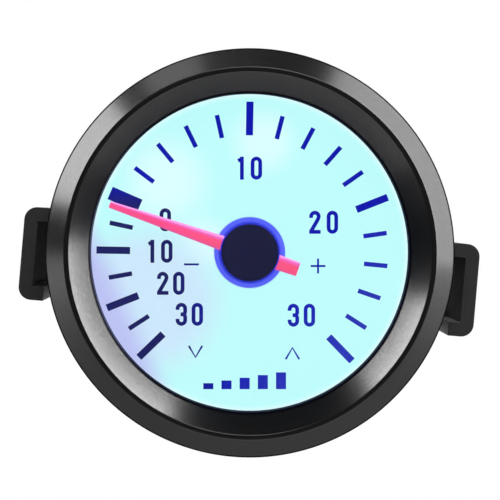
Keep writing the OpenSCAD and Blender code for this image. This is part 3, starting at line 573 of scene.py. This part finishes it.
vacuum = dict(count=6, first_angle=math.radians(ZERO_DIR + VACUUM_STEP),
              step=math.radians(VACUUM_STEP), long_every=2, **mark_sizes)
boost = dict(count=15, first_angle=math.radians(ZERO_DIR - BOOST_STEP),
             step=math.radians(-BOOST_STEP), long_every=5, **mark_sizes)
prints = [grown(marks, bpy.data.meshes.new("none"), ink, **rule)
          for rule in (zero_mark, vacuum, boost)]
for digit, x, y in NUMBERS:
    for lift, (route, closed) in enumerate(DIGITS[digit]):
        prints.append(printed(route, x, y + DIGIT_RAISE, DIGIT_STROKE, closed, lift))
# Generic signs: minus and plus beside the cap, a falling and a rising arrowhead lower
# down, and a row of five growing bars at the bottom.
prints.append(printed([(-1.1, 0), (1.1, 0)], -8.3, -1.75, SIGN_STROKE))
prints.append(printed([(-1.1, 0), (1.1, 0)], 10.5, -2.0, SIGN_STROKE))
prints.append(printed([(0, -1.1), (0, 1.1)], 10.5, -2.0, SIGN_STROKE, False, 1))
prints.append(printed([(-1.0, 0.85), (0, -0.85), (1.0, 0.85)], -7.7, -14.7, SIGN_STROKE))
prints.append(printed([(-1.0, -0.85), (0, 0.85), (1.0, -0.85)], 6.7, -15.0, SIGN_STROKE))
BAR_PITCH = 2.7
BAR_W = 1.5
BAR_MIDDLE = (-0.4, -20.3)
for i in range(5):
    tall = 0.9 + 0.4 * i
    prints.append(printed([(0, 0), (0, tall)], (i - 2) * BAR_PITCH + BAR_MIDDLE[0],
                          BAR_MIDDLE[1], BAR_W))
print_place = IN_CAR @ Matrix.Translation((PRINT_SHIFT_X, 0, 0))
settled("scale_print", joined("scale_print", prints, print_place), ink, "case",
        ("dial_scale",))

# Clear ring in the middle of the dial, which carries blue light round the cap's edge. It is
# a moulded plastic tube pressed into the dial's hole; its light is a painted glow, with
# painted shade right beside the cap.
CAP_SHADE_R = (4.45, 4.8)
RING_SHADED = (0.012, 0.02, 0.52)
glow, tree, shader = node_material("hub_ring_blue")
ring_tone = two_colours(tree, noise(tree, 400, 2.0), (0.07, 0.10, 0.90), (0.12, 0.16, 0.98))
beside_cap = nearness(tree, 0, 0, *CAP_SHADE_R)
tree.links.new(two_colours(tree, beside_cap, ring_tone, RING_SHADED),
               shader.inputs["Emission Color"])
shader.inputs["Base Color"].default_value = (0.03, 0.04, 0.3, 1)
shader.inputs["Emission Strength"].default_value = 0.9
shader.inputs["Roughness"].default_value = 0.3
dress("hub_light_ring", glow)

# Spacer sleeve between dial and lens, dull dark blue. Light from the dial's edge fills it,
# most at its lower left. The gasket in front of it is black rubber.
SLEEVE_DARK = (0.003, 0.002, 0.012)
SLEEVE_UPPER = (0.003, 0.003, 0.014)
SLEEVE_LEFT = (0.06, 0.065, 0.12)
UPPER_FADE = (-22.0, -8.0)
LEFT_FADE = (-23.0, -14.0)
sleeve, tree, shader = node_material("spacer_dark_blue")
axes = object_axes(tree)
upper = two_colours(tree, spread(tree, axes["Z"], 0, 1, *in_metres(UPPER_FADE)), SLEEVE_DARK,
                    SLEEVE_UPPER)
lit = two_colours(tree, spread(tree, axes["X"], 1, 0, *in_metres(LEFT_FADE)), upper, SLEEVE_LEFT)
tree.links.new(lit, shader.inputs["Emission Color"])
shader.inputs["Emission Strength"].default_value = 0.9
tree.links.new(two_colours(tree, noise(tree, 300), (0.003, 0.003, 0.012), (0.006, 0.007, 0.02)),
               shader.inputs["Base Color"])
shader.inputs["Roughness"].default_value = 0.9
shader.inputs["Specular IOR Level"].default_value = 0.1
dress("spacer_ring", sleeve)
gasket, tree, shader = node_material("gasket_rubber")
tree.links.new(two_colours(tree, noise(tree, 500), (0.01, 0.01, 0.01), (0.02, 0.02, 0.02)),
               shader.inputs["Base Color"])
shader.inputs["Roughness"].default_value = 0.75
dress("lens_gasket", gasket)

# Lens: a round pane cut from flat clear glass. The bezel's lip holds it from in front and
# the rubber gasket behind it.
dress("lens", clear_glass("lens_glass", (1.0, 1.0, 1.0), 0.0, 1.12))

# Bezel: an aluminium ring, turned and black anodised. Two bevels meet in a narrow crest,
# every edge is broken by a small round, and a lip holds the lens from in front.
RIM_R = 30.0
RIM_H = 5.0
RING_H = 9.0
CREST_R = 27.1
CREST_IN_R = 26.4
WINDOW_R = 23.5
LENS_Z = 5.0
LIP_Z = 5.9
INSIDE_R = 29.0
EDGE_TURNED_R = 27.0
EDGE_TURNED_T = 0.8
LATHE_STEPS = 288
BEZEL_GLOSS = 0.9
DULL_LIP_R = (23.52, 23.8)
DULL_RIM_R = (29.70, 29.84)
DULL_RIM_Y = (-5.0, -4.6)


def off_axis(tree):
    """The distance from the gauge's axis, in metres."""
    axes = object_axes(tree)
    reach = tree.nodes.new("ShaderNodeVectorMath")
    reach.operation = "LENGTH"
    tree.links.new(point(tree, axes["X"], 0, axes["Z"]), reach.inputs[0])
    return reach.outputs["Value"]


bezel_black, tree, shader = node_material("bezel_anodised")
axes = object_axes(tree)
reach = off_axis(tree)
lathe_marks = tree.nodes.new("ShaderNodeTexNoise")
lathe_marks.inputs["Scale"].default_value = 9000
tree.links.new(point(tree, reach, axes["Y"], 0), lathe_marks.inputs["Vector"])
tree.links.new(two_colours(tree, noise(tree, 150), (0.002, 0.002, 0.002), (0.004, 0.004, 0.004)),
               shader.inputs["Base Color"])
tree.links.new(spread(tree, lathe_marks.outputs["Fac"], 0.19, 0.25), shader.inputs["Roughness"])
bumped(tree, shader, noise(tree, 5000, 2.0), 0.35, 0.000010)
# The lip's inner wall is left dull, so it doesn't mirror the lit dial, and so is the broken
# edge between the outer bevel and the rim.
shader.inputs["Specular IOR Level"].default_value = BEZEL_GLOSS
gloss = spread(tree, reach, 0.0, BEZEL_GLOSS, *in_metres(DULL_LIP_R))
at_rim = sums(tree, "MULTIPLY", spread(tree, reach, 0.0, 1.0, *in_metres(DULL_RIM_R)),
              spread(tree, axes["Y"], 1.0, 0.0, *in_metres(DULL_RIM_Y)))
# The satin's fine pits mirror less than the ground between them.
pits = spread(tree, noise(tree, 3900, 2.0), 0.84, 1.05, 0.36, 0.64)
gloss = sums(tree, "MULTIPLY", gloss, pits)
tree.links.new(sums(tree, "MULTIPLY", gloss, sums(tree, "SUBTRACT", 1.0, at_rim)),
               shader.inputs["Specular IOR Level"])

turned, start = new_tree("turned_ring", (
    ("Path Radius", "Float", 25.0), ("Steps", "Int", LATHE_STEPS), ("Round Steps", "Int", 5)))
outline = turned.nodes.new("GeometryNodeMeshToCurve")
turned.links.new(start.outputs["Geometry"], outline.inputs["Mesh"])
rounding = turned.nodes.new("GeometryNodeFilletCurve")
rounding.mode = "POLY"
turned.links.new(outline.outputs["Curve"], rounding.inputs["Curve"])
turned.links.new(start.outputs["Round Steps"], rounding.inputs["Count"])
radius = turned.nodes.new("GeometryNodeInputNamedAttribute")
radius.data_type = "FLOAT"
radius.inputs["Name"].default_value = "edge_radius"
turned.links.new(radius.outputs["Attribute"], rounding.inputs["Radius"])
path = turned.nodes.new("GeometryNodeCurvePrimitiveCircle")
path.mode = "RADIUS"
turned.links.new(start.outputs["Path Radius"], path.inputs["Radius"])
turned.links.new(start.outputs["Steps"], path.inputs["Resolution"])
lathe = turned.nodes.new("GeometryNodeCurveToMesh")
turned.links.new(level(turned, path.outputs["Curve"]), lathe.inputs["Curve"])
turned.links.new(rounding.outputs["Curve"], lathe.inputs["Profile Curve"])
ended(turned, start, lathe.outputs["Mesh"])


def turned_mesh(profile, path_radius, material):
    """A mesh turned to a profile of (radius, z, edge radius) points, clockwise."""
    base = bpy.data.meshes.new("profile")
    spots = [(r - path_radius, -z, 0) for r, z, _ in profile]
    count = len(spots)
    base.from_pydata(spots, [(i, (i + 1) % count) for i in range(count)], [])
    rounds = base.attributes.new("edge_radius", "FLOAT", "POINT")
    rounds.data.foreach_set("value", [spot[2] for spot in profile])
    mesh = grown(turned, base, material, path_radius=path_radius)
    form = bmesh.new()
    form.from_mesh(mesh)
    bmesh.ops.remove_doubles(form, verts=form.verts, dist=0.001)
    bmesh.ops.dissolve_degenerate(form, edges=form.edges, dist=0.001)
    form.to_mesh(mesh)
    form.free()
    return mesh


def turned_piece(name, profile, path_radius, material, body, node, angle=35):
    """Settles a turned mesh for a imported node."""
    mesh = joined(name, [turned_mesh(profile, path_radius, material)])
    return settled(name, smoothed(mesh, angle), material, body, (node,))


turned_piece("bezel_ring", [
    (EDGE_TURNED_R, 0, 0.2), (EDGE_TURNED_R, EDGE_TURNED_T, 0.2), (INSIDE_R, EDGE_TURNED_T, 0.05),
    (INSIDE_R, LENS_Z, 0.05), (WINDOW_R, LENS_Z, 0.03), (WINDOW_R, LIP_Z, 0.12),
    (CREST_IN_R, RING_H, 0.1), (CREST_R, RING_H, 0.12), (RIM_R, RIM_H, 0.14),
    (RIM_R, 0, 0.4)], 25.0, bezel_black, "case", "bezel")

# Bush, pointer and cap. The bush is turned brass, the pointer is stamped sheet sprayed in
# fluorescent pink, which glows in the lamp's light, and the cap is turned dark plastic.
dress("pointer_bush", brass)
POINTER_DIR = 160.94
POINTER_EDGE = 0.07
POINTER_REACH = 20.6
HALF_TIP = 0.5
HALF_ROOT = 1.25
HUB_FADE = (-12.0, -5.0)
pink, tree, shader = node_material("pointer_pink")
place = tree.nodes.new("ShaderNodeTexCoord")
turn = tree.nodes.new("ShaderNodeMapping")
turn.inputs["Rotation"].default_value = (0, math.radians(POINTER_DIR - 180), 0)
tree.links.new(place.outputs["Object"], turn.inputs["Vector"])
blade = tree.nodes.new("ShaderNodeSeparateXYZ")
tree.links.new(turn.outputs["Vector"], blade.inputs["Vector"])
# The blade's half width follows its length, so its lit edges taper with it.
front_half = tree.nodes.new("ShaderNodeMapRange")
for label, value in (("From Min", -POINTER_REACH), ("From Max", 0.0), ("To Min", HALF_TIP),
                     ("To Max", HALF_ROOT)):
    front_half.inputs[label].default_value = value * MM
tree.links.new(blade.outputs["X"], front_half.inputs["Value"])
across = sums(tree, "DIVIDE", blade.outputs["Z"], front_half.outputs["Result"])
core = two_colours(tree, spread(tree, noise(tree, 250), 0.2, 0.8), (0.90, 0.060, 0.22),
                   (0.94, 0.082, 0.27))
by_hub = spread(tree, blade.outputs["X"], 0, 0.8, *in_metres(HUB_FADE))
near_hub = two_colours(tree, by_hub, core, (0.88, 0.085, 0.18))
# Painted shade darkens the blade's lower edge and a painted highlight lights its upper edge.
shaded_low_edge = two_colours(tree, spread(tree, across, 0, 1, -0.55, -0.85), near_hub,
                       (0.66, 0.09, 0.29))
upper = two_colours(tree, spread(tree, across, 0, 1, 0.15, 0.5), shaded_low_edge,
                    (0.80, 0.12, 0.48))
pink_tone = two_colours(tree, spread(tree, across, 0, 1, 0.5, 0.8), upper,
                        (0.97, 0.36, 0.86))
tree.links.new(pink_tone, shader.inputs["Emission Color"])
shader.inputs["Emission Strength"].default_value = 0.96
shader.inputs["Base Color"].default_value = (0.25, 0.03, 0.08, 1)
shader.inputs["Roughness"].default_value = 0.5
shader.inputs["Specular IOR Level"].default_value = 0.2
softened("pointer_blade", "pointer", POINTER_EDGE, pink, "pointer_shaft")

CAP_R = 4.4
CAP_LOW = 1.0
CAP_TOP = 2.6
CAP_CHAMFER = 0.22
EDGE_GLOW_R = (4.12, 4.3)
BUSH_R = 0.9
BUSH_UP = 0.9
navy, tree, shader = node_material("cap_navy")
face_tone = two_colours(tree, noise(tree, 300), (0.014, 0.016, 0.058), (0.019, 0.021, 0.070))
# The ring's blue light on the cap's edge is painted, in its colour and in its emission.
edge_glow = spread(tree, off_axis(tree), 0, 1, *in_metres(EDGE_GLOW_R))
tree.links.new(two_colours(tree, edge_glow, face_tone, (0.01, 0.012, 0.30)),
               shader.inputs["Base Color"])
tree.links.new(two_colours(tree, edge_glow, (0.0, 0.0, 0.006), (0.012, 0.02, 0.46)),
               shader.inputs["Emission Color"])
shader.inputs["Emission Strength"].default_value = 1.0
shader.inputs["Specular IOR Level"].default_value = 0.25
tree.links.new(spread(tree, noise(tree, 1500), 0.35, 0.5), shader.inputs["Roughness"])
turned_piece("cap_turned", [
    (0, CAP_TOP, 0), (CAP_R - CAP_CHAMFER, CAP_TOP, 0.1), (CAP_R, CAP_TOP - CAP_CHAMFER, 0.08),
    (CAP_R, CAP_LOW, 0.1), (BUSH_R, CAP_LOW, 0), (BUSH_R, CAP_LOW + BUSH_UP, 0),
    (0, CAP_LOW + BUSH_UP, 0)], CAP_R / 2, navy, "pointer_shaft", "pointer_cap")

# Studs, nuts and washers: steel with zinc plate. A stud is turned with a round head and has
# a rolled thread; a nut is a hexagon whose corners are chamfered. They repeat on both sides
# of the axis, so one of each is drawn and placed twice, in the lowered and turned rear frame.
REAR_DROP = 3.0
REAR_ROLL = 4.9
STUD_SPACING = 34.0
REAR = Matrix.Translation((0, -REAR_DROP, 0)) @ Matrix.Rotation(math.radians(-REAR_ROLL), 4, "Z")
STUD_R = 2.0
STUD_LOW = -56.0
STUD_TIP = 0.6
STUD_HEAD_R = 3.5
STUD_HEAD_LOW = -32.4
STUD_HEAD_H = 2.0
CASE_BACK = -34.0
THREAD_PITCH = 0.7
THREAD_DEPTH = 0.36
RIDGE_SUNK = 0.05
NUT_AF = 7.0
NUT_BORE_R = 2.05
LOCK_NUT_LOW = -36.0
LOCK_NUT_T = 2.0
BRACKET_NUT_LOW = -49.8
BRACKET_NUT_T = 3.2
NUT_ANGLES = 72
NUT_RINGS = 9
RIDGE_FOOT_SHARE = 0.86
RIDGE_TOP_SHARE = 0.14

thread, start = new_tree("rolled_thread", (
    ("Outer Radius", "Float", STUD_R), ("Pitch", "Float", THREAD_PITCH),
    ("Depth", "Float", THREAD_DEPTH), ("Low", "Float", STUD_LOW), ("High", "Float", CASE_BACK),
    ("Turn Steps", "Int", 24)))
give = start.outputs
length = sums(thread, "SUBTRACT", give["High"], give["Low"])
root = sums(thread, "SUBTRACT", give["Outer Radius"], give["Depth"])
helix = thread.nodes.new("GeometryNodeCurveSpiral")
thread.links.new(give["Turn Steps"], helix.inputs["Resolution"])
thread.links.new(sums(thread, "DIVIDE", length, give["Pitch"]), helix.inputs["Rotations"])
thread.links.new(root, helix.inputs["Start Radius"])
thread.links.new(root, helix.inputs["End Radius"])
thread.links.new(length, helix.inputs["Height"])
flank = thread.nodes.new("GeometryNodeCurvePrimitiveQuadrilateral")
flank.mode = "TRAPEZOID"
thread.links.new(sums(thread, "MULTIPLY", give["Pitch"], RIDGE_FOOT_SHARE),
                 flank.inputs["Bottom Width"])
thread.links.new(sums(thread, "MULTIPLY", give["Pitch"], RIDGE_TOP_SHARE),
                 flank.inputs["Top Width"])
thread.links.new(sums(thread, "ADD", give["Depth"], RIDGE_SUNK), flank.inputs["Height"])
flank.inputs["Offset"].default_value = 0.0
tipped = thread.nodes.new("GeometryNodeTransform")
thread.links.new(flank.outputs["Curve"], tipped.inputs["Geometry"])
tipped.inputs["Rotation"].default_value = (0, 0, math.radians(-90))
half_out = sums(thread, "MULTIPLY_ADD", give["Depth"], 0.5, -RIDGE_SUNK / 2)
thread.links.new(point(thread, half_out, 0, 0), tipped.inputs["Translation"])
ridge = thread.nodes.new("GeometryNodeCurveToMesh")
ridge.inputs["Fill Caps"].default_value = True
thread.links.new(level(thread, helix.outputs["Curve"]), ridge.inputs["Curve"])
thread.links.new(tipped.outputs["Geometry"], ridge.inputs["Profile Curve"])
lowered = thread.nodes.new("GeometryNodeTransform")
thread.links.new(ridge.outputs["Mesh"], lowered.inputs["Geometry"])
thread.links.new(point(thread, 0, 0, give["Low"]), lowered.inputs["Translation"])
ended(thread, start, lowered.outputs["Geometry"])

nut, start = new_tree("hex_nut", (
    ("Across Flats", "Float", NUT_AF), ("Height", "Float", BRACKET_NUT_T),
    ("Low", "Float", BRACKET_NUT_LOW), ("Bore Radius", "Float", NUT_BORE_R),
    ("Bore Chamfer", "Float", 0.25), ("Face Share", "Float", 0.94), ("Slope", "Float", 0.577),
    ("Angles", "Int", NUT_ANGLES)))
give = start.outputs
sheet = nut.nodes.new("GeometryNodeMeshGrid")
nut.links.new(sums(nut, "ADD", give["Angles"], 1), sheet.inputs["Vertices X"])
sheet.inputs["Vertices Y"].default_value = NUT_RINGS
index = nut.nodes.new("GeometryNodeInputIndex").outputs[0]
ring_number = sums(nut, "MODULO", index, NUT_RINGS)
turned_by = sums(nut, "MULTIPLY", sums(nut, "FLOOR", sums(nut, "DIVIDE", index, NUT_RINGS)),
                 sums(nut, "DIVIDE", math.tau, give["Angles"]))
sixth = math.radians(60)
from_flat = sums(nut, "SUBTRACT", sums(nut, "FLOORED_MODULO",
                                       sums(nut, "ADD", turned_by, sixth / 2), sixth), sixth / 2)
half = sums(nut, "MULTIPLY", give["Across Flats"], 0.5)
side = sums(nut, "DIVIDE", half, sums(nut, "COSINE", from_flat))
face_r = sums(nut, "MULTIPLY", half, give["Face Share"])
fall = sums(nut, "MULTIPLY", sums(nut, "SUBTRACT", side, face_r), give["Slope"])
sunk_r = sums(nut, "ADD", give["Bore Radius"], give["Bore Chamfer"])
radii = (give["Bore Radius"], sunk_r, face_r, side, side, face_r, sunk_r, give["Bore Radius"],
         give["Bore Radius"])
rises = (give["Bore Chamfer"], 0.0, 0.0, fall, sums(nut, "SUBTRACT", give["Height"], fall),
         give["Height"], give["Height"],
         sums(nut, "SUBTRACT", give["Height"], give["Bore Chamfer"]), give["Bore Chamfer"])
chosen = []
for values in (radii, rises):
    choice = nut.nodes.new("GeometryNodeIndexSwitch")
    choice.data_type = "FLOAT"
    while len(choice.index_switch_items) < NUT_RINGS:
        choice.index_switch_items.new()
    nut.links.new(ring_number, choice.inputs["Index"])
    for number, value in enumerate(values):
        if isinstance(value, float):
            choice.inputs[1 + number].default_value = value
        else:
            nut.links.new(value, choice.inputs[1 + number])
    chosen.append(choice.outputs[0])
formed = nut.nodes.new("GeometryNodeSetPosition")
nut.links.new(sheet.outputs["Mesh"], formed.inputs["Geometry"])
nut.links.new(point(nut, sums(nut, "MULTIPLY", chosen[0], sums(nut, "COSINE", turned_by)),
                    sums(nut, "MULTIPLY", chosen[0], sums(nut, "SINE", turned_by)),
                    sums(nut, "ADD", chosen[1], give["Low"])), formed.inputs["Position"])
welded = nut.nodes.new("GeometryNodeMergeByDistance")
nut.links.new(formed.outputs["Geometry"], welded.inputs["Geometry"])
ended(nut, start, welded.outputs["Geometry"])

pair, start = new_tree("pair_beside_axis", (("Spacing", "Float", STUD_SPACING),))
spots = pair.nodes.new("GeometryNodeMeshLine")
spots.inputs["Count"].default_value = 2
half = sums(pair, "MULTIPLY", start.outputs["Spacing"], -0.5)
pair.links.new(point(pair, half, 0, 0), spots.inputs["Start Location"])
pair.links.new(point(pair, start.outputs["Spacing"], 0, 0), spots.inputs["Offset"])
placed = pair.nodes.new("GeometryNodeInstanceOnPoints")
pair.links.new(spots.outputs["Mesh"], placed.inputs["Points"])
pair.links.new(start.outputs["Geometry"], placed.inputs["Instance"])
ended(pair, start, placed.outputs["Instances"])

STILL = Matrix.Identity(4)


def paired(name, meshes, body, node, angle=35):
    """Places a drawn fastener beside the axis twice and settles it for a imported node."""
    one = joined(name + "_one", meshes, STILL)
    both = joined(name, [grown(pair, one, zinc, spacing=STUD_SPACING)], IN_CAR @ REAR)
    settled(name, smoothed(both, angle), zinc, body, (node,))


root_r = STUD_R - THREAD_DEPTH
shank = turned_mesh([
    (0, STUD_HEAD_LOW + STUD_HEAD_H, 0), (STUD_HEAD_R, STUD_HEAD_LOW + STUD_HEAD_H, 0.3),
    (STUD_HEAD_R, STUD_HEAD_LOW, 0.1), (STUD_R, STUD_HEAD_LOW, 0), (STUD_R, CASE_BACK, 0),
    (root_r, CASE_BACK - THREAD_DEPTH, 0), (root_r, STUD_LOW + STUD_TIP, 0),
    (STUD_R - STUD_TIP - THREAD_DEPTH, STUD_LOW, 0), (0, STUD_LOW, 0)], 1.0, zinc)
rolled = grown(thread, bpy.data.meshes.new("none"), zinc, low=STUD_LOW + STUD_TIP, high=CASE_BACK)
paired("threaded_studs", [shank, rolled], "case", "case_studs")
paired("lock_nuts_turned", [grown(nut, bpy.data.meshes.new("none"), zinc, low=LOCK_NUT_LOW,
                                  height=LOCK_NUT_T)], "case", "stud_lock_nuts")
paired("bracket_nuts_turned", [grown(nut, bpy.data.meshes.new("none"), zinc, low=BRACKET_NUT_LOW,
                                     height=BRACKET_NUT_T)], "bracket", "bracket_nuts")
WASHER_EDGE = 0.12
softened("plain_washers", "flat_washers", WASHER_EDGE, zinc, "bracket")
softened("spring_washers", "lock_washers", WASHER_EDGE, zinc, "bracket")

# Bracket: a channel bent into a U, moulded in the same black plastic as the case but with
# a coarser grain. Its legs' open ends point at the viewer beside the bezel.
BRACKET_EDGE = 0.3
bracket_plastic = moulded_black("bracket_nylon", (0.007, 0.007, 0.007), (0.018, 0.018, 0.018),
                                2400, 0.00005)
softened("bracket_channel", "bracket", BRACKET_EDGE, bracket_plastic, "bracket")

# Studio: a paper floor, grey to the light that bounces off it and pale to the camera, which
# fades into a white backdrop away from the gauge. Soft boxes stand beside the gauge, in
# front of it and behind it, in a dark room that is white where the camera looks.
FLOOR_DROP = 120 * MM
FADE_NEAR = 0.12
FADE_FAR = 0.42
BEHIND_NEAR = 0.05
BEHIND_FAR = 0.30
SEEN_NEAR = 0.10
FLOOR_SIZE = 12.0
FLOOR_BACK = 3.0
floor_low = -RIM_R * MM - FLOOR_DROP
bpy.ops.mesh.primitive_plane_add(size=FLOOR_SIZE, location=(0, FLOOR_BACK, floor_low))
floor = bpy.context.object
floor.name = "studio_floor"
floor_paint, tree, shader = node_material("studio_paper")
rays = tree.nodes.new("ShaderNodeLightPath")
paper_grain = noise(tree, 40, 2.0)
bounced = two_colours(tree, paper_grain, (0.12, 0.12, 0.12), (0.13, 0.13, 0.13))
seen = two_colours(tree, paper_grain, (0.33, 0.33, 0.33), (0.35, 0.35, 0.35))
tree.links.new(two_colours(tree, rays.outputs["Is Camera Ray"], bounced, seen),
               shader.inputs["Base Color"])
shader.inputs["Roughness"].default_value = 0.9
shader.inputs["Specular IOR Level"].default_value = 0.1
place = tree.nodes.new("ShaderNodeTexCoord")
away = tree.nodes.new("ShaderNodeVectorMath")
away.operation = "DISTANCE"
away.inputs[1].default_value = (0, -FLOOR_BACK, 0)
tree.links.new(place.outputs["Object"], away.inputs[0])
seen_share = spread(tree, away.outputs["Value"], SEEN_NEAR, 1.0, FADE_NEAR, FADE_FAR)
# Metal and glass see the white floor behind the gauge, and the grey one in front of it.
behind = spread(tree, object_axes(tree)["Y"], 0.0, 1.0, BEHIND_NEAR - FLOOR_BACK,
                BEHIND_FAR - FLOOR_BACK)
mirror_share = sums(tree, "MULTIPLY",
                    spread(tree, away.outputs["Value"], 0.0, 1.0, FADE_NEAR, FADE_FAR), behind)
mirrored = sums(tree, "MAXIMUM", rays.outputs["Is Glossy Ray"], rays.outputs["Is Transmission Ray"])
share = sums(tree, "MAXIMUM", sums(tree, "MULTIPLY", rays.outputs["Is Camera Ray"], seen_share),
             sums(tree, "MULTIPLY", mirrored, mirror_share))
white = tree.nodes.new("ShaderNodeEmission")
blend = tree.nodes.new("ShaderNodeMixShader")
tree.links.new(share, blend.inputs["Fac"])
tree.links.new(shader.outputs["BSDF"], blend.inputs[1])
tree.links.new(white.outputs["Emission"], blend.inputs[2])
tree.links.new(blend.outputs["Shader"], tree.nodes["Material Output"].inputs["Surface"])
floor.data.materials.append(floor_paint)


def soft_box(name, place, width, depth, power):
    """A soft box that faces the gauge, its depth along Y."""
    lamp = bpy.data.lights.new(name, "AREA")
    lamp.shape = "RECTANGLE"
    lamp.size = width
    lamp.size_y = depth
    lamp.energy = power
    box = linked(name, lamp)
    back = Vector(place).normalized()
    side = Vector((0, 1, 0)).cross(back).normalized()
    up = back.cross(side)
    box.matrix_world = Matrix.Translation(place) @ Matrix((side, up, back)).transposed().to_4x4()
    return box


def around(angle, reach, y):
    """A place beside the gauge, at an angle above the horizon and moved along Y."""
    return (reach * math.cos(math.radians(angle)), y, reach * math.sin(math.radians(angle)))


# The outer bevel mirrors what stands beside the gauge and a little behind it, the inner
# bevel what stands beside it and level with it, so each side has two boxes.
BOX_REACH = 0.5
BEHIND_Y = 0.20
LEVEL_Y = -0.03
soft_box("right_behind", around(30, BOX_REACH, BEHIND_Y), 0.66, 0.26, 1.35)
soft_box("right_level", around(29, BOX_REACH, LEVEL_Y), 0.66, 0.20, 6.4)
soft_box("left_behind", around(149, BOX_REACH, BEHIND_Y), 0.30, 0.26, 1.02)
soft_box("left_level", around(149, BOX_REACH, LEVEL_Y), 0.30, 0.20, 2.7)
soft_box("upper_behind", around(113, BOX_REACH, BEHIND_Y), 0.16, 0.26, 0.11)
soft_box("low_level", (0, -0.045, -0.14), 0.5, 0.11, 0.22)
soft_box("front_light", (0.1, -0.9, 0.7), 0.5, 0.5, 6.0)
soft_box("back_light", (-0.2, 0.7, 0.6), 0.5, 0.4, 4.0)

BACKDROP_EDGE = (0.85, 0.95)
ROOM_LIGHT = (0.13, 0.13, 0.13)
ROOM_MIRRORED = (0.05, 0.05, 0.05)
world = bpy.data.worlds.new("studio_room")
bpy.context.scene.world = world
world.use_nodes = True
tree = world.node_tree
room = tree.nodes["Background"]
place = tree.nodes.new("ShaderNodeTexCoord")
axes = tree.nodes.new("ShaderNodeSeparateXYZ")
tree.links.new(place.outputs["Generated"], axes.inputs["Vector"])
rays = tree.nodes.new("ShaderNodeLightPath")
mirrored = sums(tree, "MAXIMUM", rays.outputs["Is Glossy Ray"], rays.outputs["Is Transmission Ray"])
# The backdrop stands behind the gauge, so metal and glass see white only that way.
backdrop = spread(tree, axes.outputs["Y"], 0.0, 1.0, *BACKDROP_EDGE)
share = sums(tree, "MAXIMUM", rays.outputs["Is Camera Ray"],
             sums(tree, "MULTIPLY", mirrored, backdrop))
tree.links.new(two_colours(tree, mirrored, ROOM_LIGHT, ROOM_MIRRORED), room.inputs["Color"])
seen = tree.nodes.new("ShaderNodeBackground")
seen.inputs["Color"].default_value = (1, 1, 1, 1)
blend = tree.nodes.new("ShaderNodeMixShader")
tree.links.new(share, blend.inputs["Fac"])
tree.links.new(room.outputs["Background"], blend.inputs[1])
tree.links.new(seen.outputs["Background"], blend.inputs[2])
tree.links.new(blend.outputs["Shader"], tree.nodes["World Output"].inputs["Surface"])

# Camera: a long lens about 0.4 m in front, a little left of the axis and a little above. It
# looks at the middle of the bezel's outer edge and shifts the picture without turning.
PICTURE_PX = 500
BEZEL_PX = 409.6
BEZEL_LOW_PX = 3.1
CAMERA_AWAY = 0.4
CAMERA_LEFT = 0.004
CAMERA_UP = 0.006
camera_data = bpy.data.cameras.new("camera")
camera_data.sensor_width = 36
focal_px = BEZEL_PX / (2 * RIM_R * MM) * CAMERA_AWAY
camera_data.lens = camera_data.sensor_width * focal_px / PICTURE_PX
camera = linked("camera", camera_data)
bpy.context.scene.camera = camera
target = Vector((0, -RIM_H * MM, 0))
camera.location = target + Vector((-CAMERA_LEFT, -CAMERA_AWAY, CAMERA_UP))
camera.rotation_euler = (target - camera.location).to_track_quat("-Z", "Y").to_euler()
camera_data.shift_y = BEZEL_LOW_PX / PICTURE_PX

bpy.context.scene.view_settings.view_transform = "Standard"
